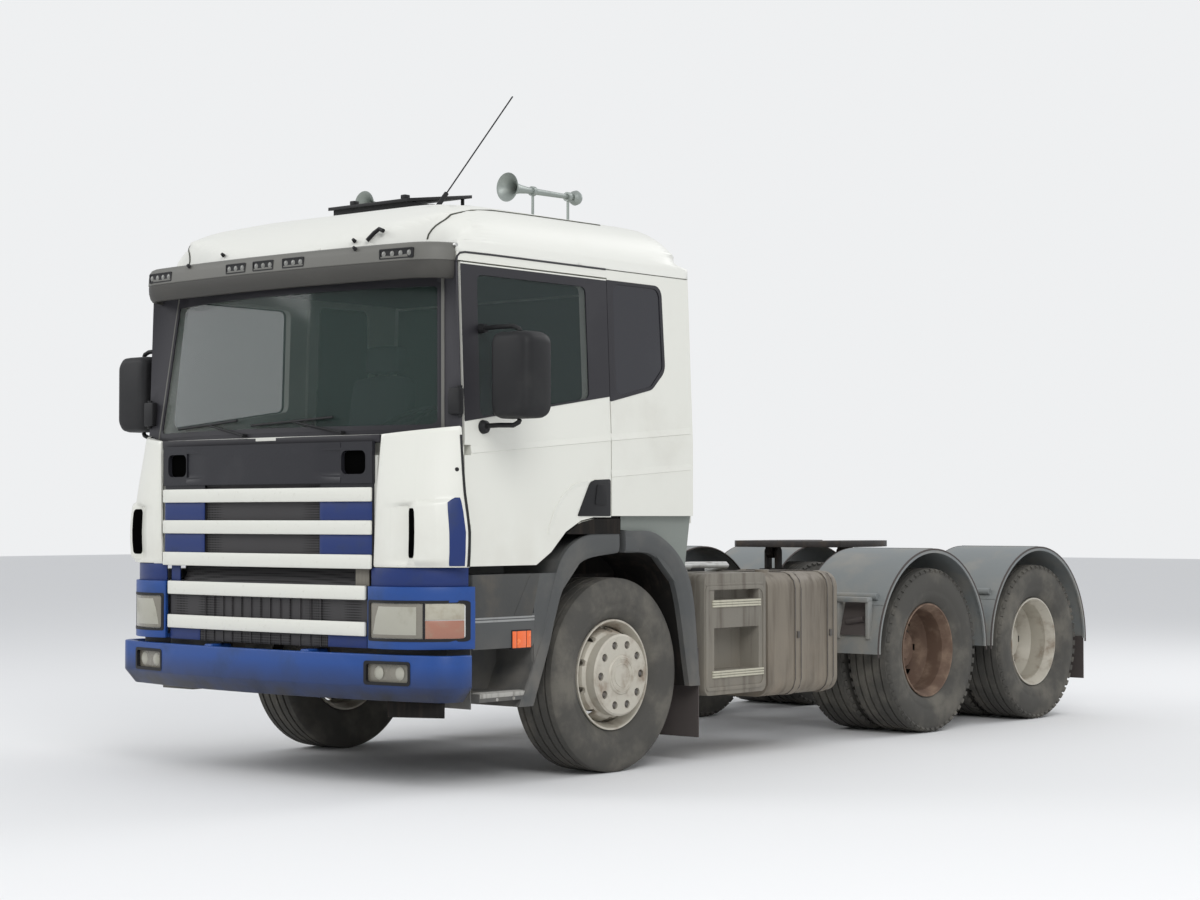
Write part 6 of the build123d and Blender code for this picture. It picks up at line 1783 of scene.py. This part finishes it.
@dataclass
class SideBoxes:
    """Step box, fuel tank and silencer on the frame's sides, with their treads and pipes."""

    treads: tuple[tuple[float, ...], ...] = ((0.815, 1.273, 0.862, 0.905), (0.814, 1.301, 0.462, 0.505))
    fittings: tuple[tuple[float, ...], ...] = (
        (0.46, 0.66, 0.76, 0.98, 1.09), (0.5, 0.78, 1.05, 1.3, 1.105), (0.46, 0.62, 1.45, 1.85, 1.02))
    straps: Plan = (1.645, 1.98)
    strap: tuple[Plan, ...] = (
        (0.6, 1.05), (1.1, 1.0505), (1.165, 1.034), (1.196, 1.0), (1.2075, 0.95), (1.2075, 0.42),
        (1.19, 0.365), (1.15, 0.33), (1.1, 0.3225), (0.7, 0.3225))
    runs: tuple[tuple[float, ...], ...] = ((1.0, 1.092, 0.62, 1.22), (0.93, 1.1, 0.62, 1.3))

    def build(self, nodes: Nodes) -> None:
        """Soften the boxes and add their small parts.

        Args:
            nodes: The CAD nodes by name.
        """
        for node, finish, width in (("step_box", SIDE_BOX, 0.008), ("fuel_tank", TANK, 0.008),
                                    ("silencer", SIDE_BOX, 0.01)):
            shell = Sketch()
            shell.softened(nodes[node], width)
            shell.piece(f"{node}_weathered", finish, "chassis", "side_box_metal", (node,), 40.0)
        treads, rim, dark, bands, pipes = (Sketch() for _ in range(5))
        for d0, d1, z0, z1 in self.treads:
            for part in range(3):
                low = z0 + (z1 - z0) * part / 3
                treads.block((1.14, behind(d0), low + 0.001),
                             (1.2085, behind(d1), low + (z1 - z0) / 3 - 0.002), 0.003)
        treads.piece("box_treads", TREAD_CREAM, "chassis", "side_box_metal")
        outer = rounded(oblong((0.752, 1.32), (0.39, 0.985)), (0.03, 0.05, 0.06, 0.02), 5, 3)
        inner = rounded(oblong((0.772, 1.298), (0.412, 0.962)), (0.02, 0.04, 0.05, 0.015), 5, 3)
        rim.frame(lambda spot, inset: (1.2 - inset, behind(spot[0]), spot[1]), outer, inner, (-0.005, 0.004),
                  0.002)
        rim.block((1.15, behind(0.75), 0.984), (1.203, behind(1.31), 1.0), 0.004)
        rim.piece("box_door_rim", SIDE_BOX, "chassis", "side_box_metal")
        hollow = rounded(oblong((0.823, 0.92), (0.512, 0.66)), 0.025)
        dark.plate([(1.121, behind(d), z) for d, z in hollow], (0.0015, 0, 0))
        for x0, x1, d0, d1, z1 in self.fittings:
            dark.block((x0, behind(d0), 0.9), (x1, behind(d1), z1), 0.012)
        dark.piece("box_and_frame_fittings", BLACK, "chassis", "black_plastic")
        for centre in self.straps:
            for edge in (-0.03, 0.03):
                bands.tube([(x, behind(centre + edge), z) for x, z in self.strap], 0.0028, 6)
            bands.block((1.2, behind(centre - 0.012), 0.66), (1.2145, behind(centre + 0.012), 0.7), 0.003)
        bands.piece("tank_strap_edges", NUT, "chassis", "side_box_metal")
        for x, z, d0, d1 in self.runs:
            pipes.tube([(x, behind(d0), z), (x, behind((d0 + d1) / 2), z + 0.004), (x, behind(d1), z),
                        (x - 0.06, behind(d1 + 0.06), z - 0.01), (x - 0.25, behind(d1 + 0.1), z - 0.05)],
                        0.014, 12)
            pipes.rod((x, behind(0.8), z), (x, behind(0.86), z), 0.019)
            pipes.rod((x, behind(0.83), z), (x, behind(0.83), 1.04), 0.008)
        pipes.piece("pale_pipes", PIPE, "chassis", "side_box_metal")


@dataclass
class Mudguards:
    """Black edging on the rear mudguards, their braces and the bracket in front."""

    radius: float = 0.648
    arc: Plan = (-2.0, 182.0)
    steps: int = 40
    rib_turns: tuple[int, ...] = (28, 90, 152)
    rib: tuple[float, ...] = (0.63, 0.93, 1.23)
    edging: Plan = (1.2375, 0.6225)

    def build(self) -> None:
        """Dress all four mudguards."""
        edges, seams, bracket, inside = Sketch(), Sketch(), Sketch(), Sketch()
        for y in DRIVE_AXLES:
            for x in self.edging:
                edges.tube([self._spot(x, y, turn, self.radius - 0.004)
                            for turn in spread(*self.arc, self.steps)], 0.006, 8)
            for turn in self.rib_turns:
                seams.tube([self._spot(x, y, turn, self.radius) for x in self.rib], 0.004, 8)
        y = DRIVE_AXLES[0] - 0.6
        bracket.block((0.93, y - 0.075, 0.845), (1.177, y - 0.01, 0.878), 0.01)
        bracket.block((0.93, y - 0.06, 0.618), (0.955, y - 0.01, 0.87), 0.006)
        bracket.block((1.15, y - 0.06, 0.618), (1.175, y - 0.01, 0.87), 0.006)
        recess = [(0.957, y - 0.052, 0.64), (1.148, y - 0.052, 0.64), (1.148, y + 0.012, 0.843),
                  (0.957, y + 0.012, 0.843)]
        inside.plate(recess, (0, 0.006, 0))
        inside.rod((1.0, y - 0.03, 0.72), (1.12, y - 0.03, 0.74), 0.018)
        for sketch, name, finish, slot in (
            (edges, "guard_black_edging", FLAP, "flap_rubber"),
            (seams, "guard_cross_ribs", GUARD, "guard_plastic"),
            (bracket, "guard_front_bracket", GUARD, "guard_plastic"),
            (inside, "guard_front_recess", FLAP, "black_plastic"),
        ):
            sketch.piece(name, finish, "chassis", slot, both=True)

    def _spot(self, x: float, y: float, turn: float, radius: float) -> Place:
        """Find a place on a mudguard.

        Args:
            x: Across the truck.
            y: The axle's place along the truck.
            turn: The angle round the axle, in degrees from the front.
            radius: Distance from the axle.

        Returns:
            The place.
        """
        angle = math.radians(turn)
        return (x, y - math.cos(angle) * radius, TYRE_RADIUS + math.sin(angle) * radius)


@dataclass
class RearEnd:
    """Coupling plate with softened edges, frame bolts and tail lamp lenses."""

    bolt_run: Plan = (-2.6, 3.16)
    bolt_levels: Plan = (0.75, 0.9)
    lens_edges: tuple[Plan, ...] = ((0.488, 0.6), (0.605, 0.715), (0.72, 0.892))

    def build(self, nodes: Nodes) -> None:
        """Dress the chassis behind the cab.

        Args:
            nodes: The CAD nodes by name.
        """
        plate, bolts, red, orange, white = (Sketch() for _ in range(5))
        plate.softened(nodes["fifth_wheel_plate"], 0.006)
        plate.piece("fifth_wheel_greasy_plate", COUPLING, "fifth_wheel", "coupling_steel",
                    ("fifth_wheel_plate",), 40.0)
        for y in spread(*self.bolt_run, 18):
            for z in self.bolt_levels:
                bolts.rod((0.42, y, z), (0.4335, y, z), 0.014, 0.012, 8)
        bolts.piece("frame_bolts", NUT, "chassis", "chassis_paint", both=True)
        for (x0, x1), sketch in zip(self.lens_edges, (red, white, orange)):
            sketch.block((x0, 3.34, 0.782), (x1, 3.3505, 0.878), 0.003)
        for sketch, name, finish in ((red, "tail_lenses_red", TAIL_RED),
                                     (white, "tail_lenses_white", SIDE_LIGHT),
                                     (orange, "tail_lenses_orange", MARKER)):
            sketch.piece(name, finish, "chassis", "lamp_lens", both=True)


@dataclass
class Cushion:
    """One upholstered cushion with a crowned face and a piped edge."""

    low: Place
    high: Place
    lean: float = 0.0
    crown: float = 0.022
    channel: float = 0.012

    def add(self, sketch: Sketch) -> None:
        """Add the cushion to a mesh.

        Args:
            sketch: The mesh in the making.
        """
        start = len(sketch.bm.verts)
        low, high = Vector(self.low), Vector(self.high)
        middle, half = (low + high) / 2, (high - low) / 2
        made = bmesh.ops.create_cube(sketch.bm, size=2.0)
        edges = list(dict.fromkeys(edge for vert in made["verts"] for edge in vert.link_edges))
        bmesh.ops.subdivide_edges(sketch.bm, edges=edges, cuts=7, use_grid_fill=True)
        verts = list(sketch.bm.verts)[start:]
        tall = max(half.z, 1e-6)
        for vert in verts:
            x, y, z = vert.co
            puff = [1 - 0.09 * (1 - (1 - b**4) * (1 - c**4)) for b, c in ((y, z), (x, z), (x, y))]
            face = abs(z) > 0.99
            swell = (1 - x**2) * (1 - y**2) * face * math.copysign(self.crown, z) / tall
            channel = self.channel * math.cos(x * math.pi * 3.5) * (1 - abs(y)) * face / tall
            rise = z * puff[2] + swell - abs(channel) * math.copysign(1, z)
            vert.co = Vector((x * puff[0], y * puff[1], rise))
        bmesh.ops.scale(sketch.bm, verts=verts, vec=half)
        bmesh.ops.translate(sketch.bm, verts=verts, vec=middle)
        if self.lean:
            bmesh.ops.rotate(sketch.bm, verts=verts, cent=(middle.x, self.low[1], self.low[2]),
                             matrix=Matrix.Rotation(self.lean, 3, "X"))


@dataclass
class Seats:
    """Two padded seats on their pedestals and the bunk behind them."""

    across: float = 0.52
    bunk: Plan = (0.14, 0.59)
    bunk_half: float = 1.05
    floor: float = 1.372

    def build(self) -> None:
        """Build cushions, pedestals and the bunk."""
        cushions, stands, bunk = Sketch(), Sketch(), Sketch()
        for side in SIDES.values():
            x = side * self.across
            Cushion((x - 0.245, behind(-0.63), 1.712), (x + 0.245, behind(-0.16), 1.845)).add(cushions)
            Cushion((x - 0.235, behind(-0.185), 1.81), (x + 0.235, behind(-0.075), 2.2), -0.13).add(cushions)
            Cushion((x - 0.14, behind(-0.125), 2.215), (x + 0.14, behind(-0.045), 2.375), -0.1,
                    0.01).add(cushions)
            stands.block((x - 0.17, behind(-0.56), self.floor), (x + 0.17, behind(-0.16), 1.705), 0.02)
            for dx in (-0.06, 0.06):
                stands.rod((x + dx, behind(-0.1), 2.12), (x + dx, behind(-0.09), 2.26), 0.008)
        half, (near, far) = self.bunk_half, (behind(d) for d in self.bunk)
        Cushion((-half, near, 1.62), (half, far, 1.755), 0.0, 0.006).add(bunk)
        stands.block((-half, near, self.floor), (half, far, 1.618), 0.015)
        seats = cushions.piece("seat_cushions", CLOTH, "cab", "seat_cloth", ("seats",), 180.0)
        mattress = bunk.piece("bunk_mattress", LEATHER, "cab", "seat_cloth", sharp=180.0)
        for pad in (seats, mattress):
            smooth = pad.modifiers.new("round", "SUBSURF")
            smooth.levels = smooth.render_levels = 1
        stands.piece("seat_pedestals", BLACK, "cab", "black_plastic")


@dataclass
class Tyre:
    """One road tyre with grooves round it and lugs on its shoulders."""

    radius: float = TYRE_RADIUS
    half: float = 0.155
    bead: float = 0.2885
    lugs: int = 54
    lug_place: Plan = (0.139, 0.502)
    lug_tilt: float = 0.62
    lug_size: tuple[float, ...] = (0.02, 0.034, 0.03, 1)

    def add(self, sketch: Sketch, x: float, y: float) -> None:
        """Add the tyre to a mesh.

        Args:
            sketch: The mesh in the making.
            x: Middle of the tyre across the truck.
            y: Its axle's place along the truck.
        """
        centre = (x, y, TYRE_RADIUS)
        half = self.half
        side = [
            (0.1035, self.bead), (0.1035, 0.3), (0.124, 0.318), (0.139, 0.345), (0.146, 0.365),
            (0.1445, 0.372), (0.149, 0.385), (half, 0.42), (half - 0.001, 0.45), (0.152, 0.462),
            (0.15, 0.478), (0.144, 0.5), (0.135, 0.515), (0.128, 0.5215),
        ]
        tread = []
        for middle in (0.086, 0.03, -0.03, -0.086):
            tread += [(middle + 0.007, self.radius - 0.001), (middle + 0.005, self.radius - 0.016),
                      (middle - 0.005, self.radius - 0.016), (middle - 0.007, self.radius - 0.001)]
        profile = side + tread + [(-a, r) for a, r in reversed(side)]
        sketch.lathe(profile, centre, steps=96)
        for step in range(self.lugs):
            turn = Matrix.Rotation(math.tau * step / self.lugs, 4, "X")
            for way in (1, -1):
                shift = Matrix.Translation(Vector((way * self.lug_place[0], 0, self.lug_place[1])))
                tilt = Matrix.Rotation(way * self.lug_tilt, 4, "Y")
                place = Matrix.Translation(Vector(centre)) @ turn @ shift @ tilt
                bmesh.ops.create_cube(sketch.bm, size=1.0, matrix=place @ Matrix.Diagonal(self.lug_size))


@dataclass
class Wheels:
    """Tyres, rims and nuts of every wheel."""

    front_x: float = 1.03
    outer_x: float = 1.075
    inner_x: float = 0.735
    nuts: int = 10
    nut_circle: float = 0.1675

    def build(self) -> None:
        """Make the tyres in place of the plain ones, and dress the rims."""
        tyre, worn = Tyre(), Tyre(lugs=0)
        for name, side in SIDES.items():
            sketch = Sketch()
            worn.add(sketch, side * self.front_x, FRONT_AXLE)
            sketch.piece(f"front_tyre_{name}_treaded", RUBBER, f"front_wheel_{name}", "tyre_rubber",
                         (f"front_tyre_{name}",))
            for number, y in zip((2, 3), DRIVE_AXLES):
                sketch = Sketch()
                for x in (self.outer_x, self.inner_x):
                    tyre.add(sketch, side * x, y)
                sketch.piece(f"rear_tyres_{number}_{name}_treaded", RUBBER, f"rear_wheels_{number}_{name}",
                             "tyre_rubber", (f"rear_tyres_{number}_{name}",))
                self._nuts(f"rear_nuts_{number}_{name}", f"rear_wheels_{number}_{name}", side, (0.915, 0.95),
                           y)
            self._nuts(f"front_nuts_{name}", f"front_wheel_{name}", side, (1.178, 1.199), FRONT_AXLE)
            cap = Sketch()
            for radius in (0.058, 0.084):
                cap.lathe([(1.211, radius), (1.2155, radius + 0.002), (1.2155, radius + 0.006),
                           (1.211, radius + 0.008)],
                          (0, FRONT_AXLE, TYRE_RADIUS), side, 48)
            cap.piece(f"front_cap_rings_{name}", RIM_SILVER, f"front_wheel_{name}", "wheel_silver")

    def _nuts(self, name: str, body: str, side: int, span: Plan, y: float) -> None:
        """Add a circle of wheel nuts.

        Args:
            name: The piece's name.
            body: The wheel that they ride on.
            side: 1 on the left, -1 on the right.
            span: Their inner and outer X.
            y: The axle's place along the truck.
        """
        nuts = Sketch()
        for step in range(self.nuts):
            turn = math.tau * step / self.nuts
            spot = (y + self.nut_circle * math.cos(turn), TYRE_RADIUS + self.nut_circle * math.sin(turn))
            nuts.rod((side * span[0], *spot), (side * span[1], *spot), 0.0165, 0.0155, 6)
            nuts.rod((side * span[1], *spot), (side * (span[1] + 0.004), *spot), 0.012, 0.009, 12)
        nuts.piece(name, NUT, body, "cast_axle")


def coat(nodes: Nodes) -> None:
    """Give each CAD node its finish.

    Args:
        nodes: The CAD nodes by name.
    """
    groups: tuple[tuple[Finish | Glass, tuple[str, ...]], ...] = (
        (CHASSIS, ("frame_rails", "crossmembers", "cab_mounts")),
        (AXLE, ("front_axle", "front_springs", "engine_block", "prop_shafts", "drive_axles",
                "rear_suspension", "knuckle_left", "knuckle_right", "tie_rod")),
        (BLUE, ("bumper", "headlamp_frames")),
        (LENS, ("front_lamps",)),
        (MESH, ("lower_grille", "lid_grille")),
        (GREY_PLASTIC, ("rear_flares", "cab_steps")),
        (DEFLECTOR, ("rear_deflectors",)),
        (FLAP, ("mudflaps",)),
        (SIDE_BOX, ("step_box", "fuel_tank", "silencer")),
        (GUARD, ("rear_mudguards",)),
        (COUPLING, ("fifth_wheel_base", "fifth_wheel_plate")),
        (PAINT, ("cab_shell", "corner_panels", "door_left", "door_right")),
        (ROOF, ("roof_shell",)),
        (SCREEN, ("cab_glass",)),
        (WINDOW, ("door_glass_left", "door_glass_right")),
        (VISOR, ("sun_visor",)),
        (BLACK, ("tail_lamps", "wipers", "dashboard", "roof_hatch", "antenna", "mirror_left",
                 "mirror_right")),
        (CLOTH, ("seats",)),
        (HORN, ("air_horns",)),
        (DARK_PANEL, ("lid_panel",)),
        (RUBBER, ("front_tyre_left", "front_tyre_right",
                  *(f"rear_tyres_{n}_{s}" for n in (2, 3) for s in SIDES))),
        (RIM_SILVER, ("front_rim_left", "front_rim_right", "rear_rims_3_left", "rear_rims_3_right")),
        (RIM_RUST, ("rear_rims_2_left", "rear_rims_2_right")),
    )
    for finish, names in groups:
        for slot in [slot for name in names for slot in nodes[name].material_slots]:
            slot.material = finish.material()


def main() -> None:
    """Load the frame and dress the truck."""
    logging.basicConfig(level=logging.INFO)
    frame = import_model()
    nodes = frame["nodes"]
    Camera().build()
    Studio().build()
    coat(nodes)
    FrontLid().build()
    LowerFront().build()
    Headlamps().build()
    CornerPanels().build()
    Bumper().build(nodes)
    CabSides().build()
    Windscreen().build()
    SunVisor().build()
    Mirrors().build()
    RoofTop().build(nodes)
    StepsAndFlares().build(nodes)
    SideBoxes().build(nodes)
    Mudguards().build()
    RearEnd().build(nodes)
    Seats().build()
    Wheels().build()


if __name__ == "__main__":
    main()
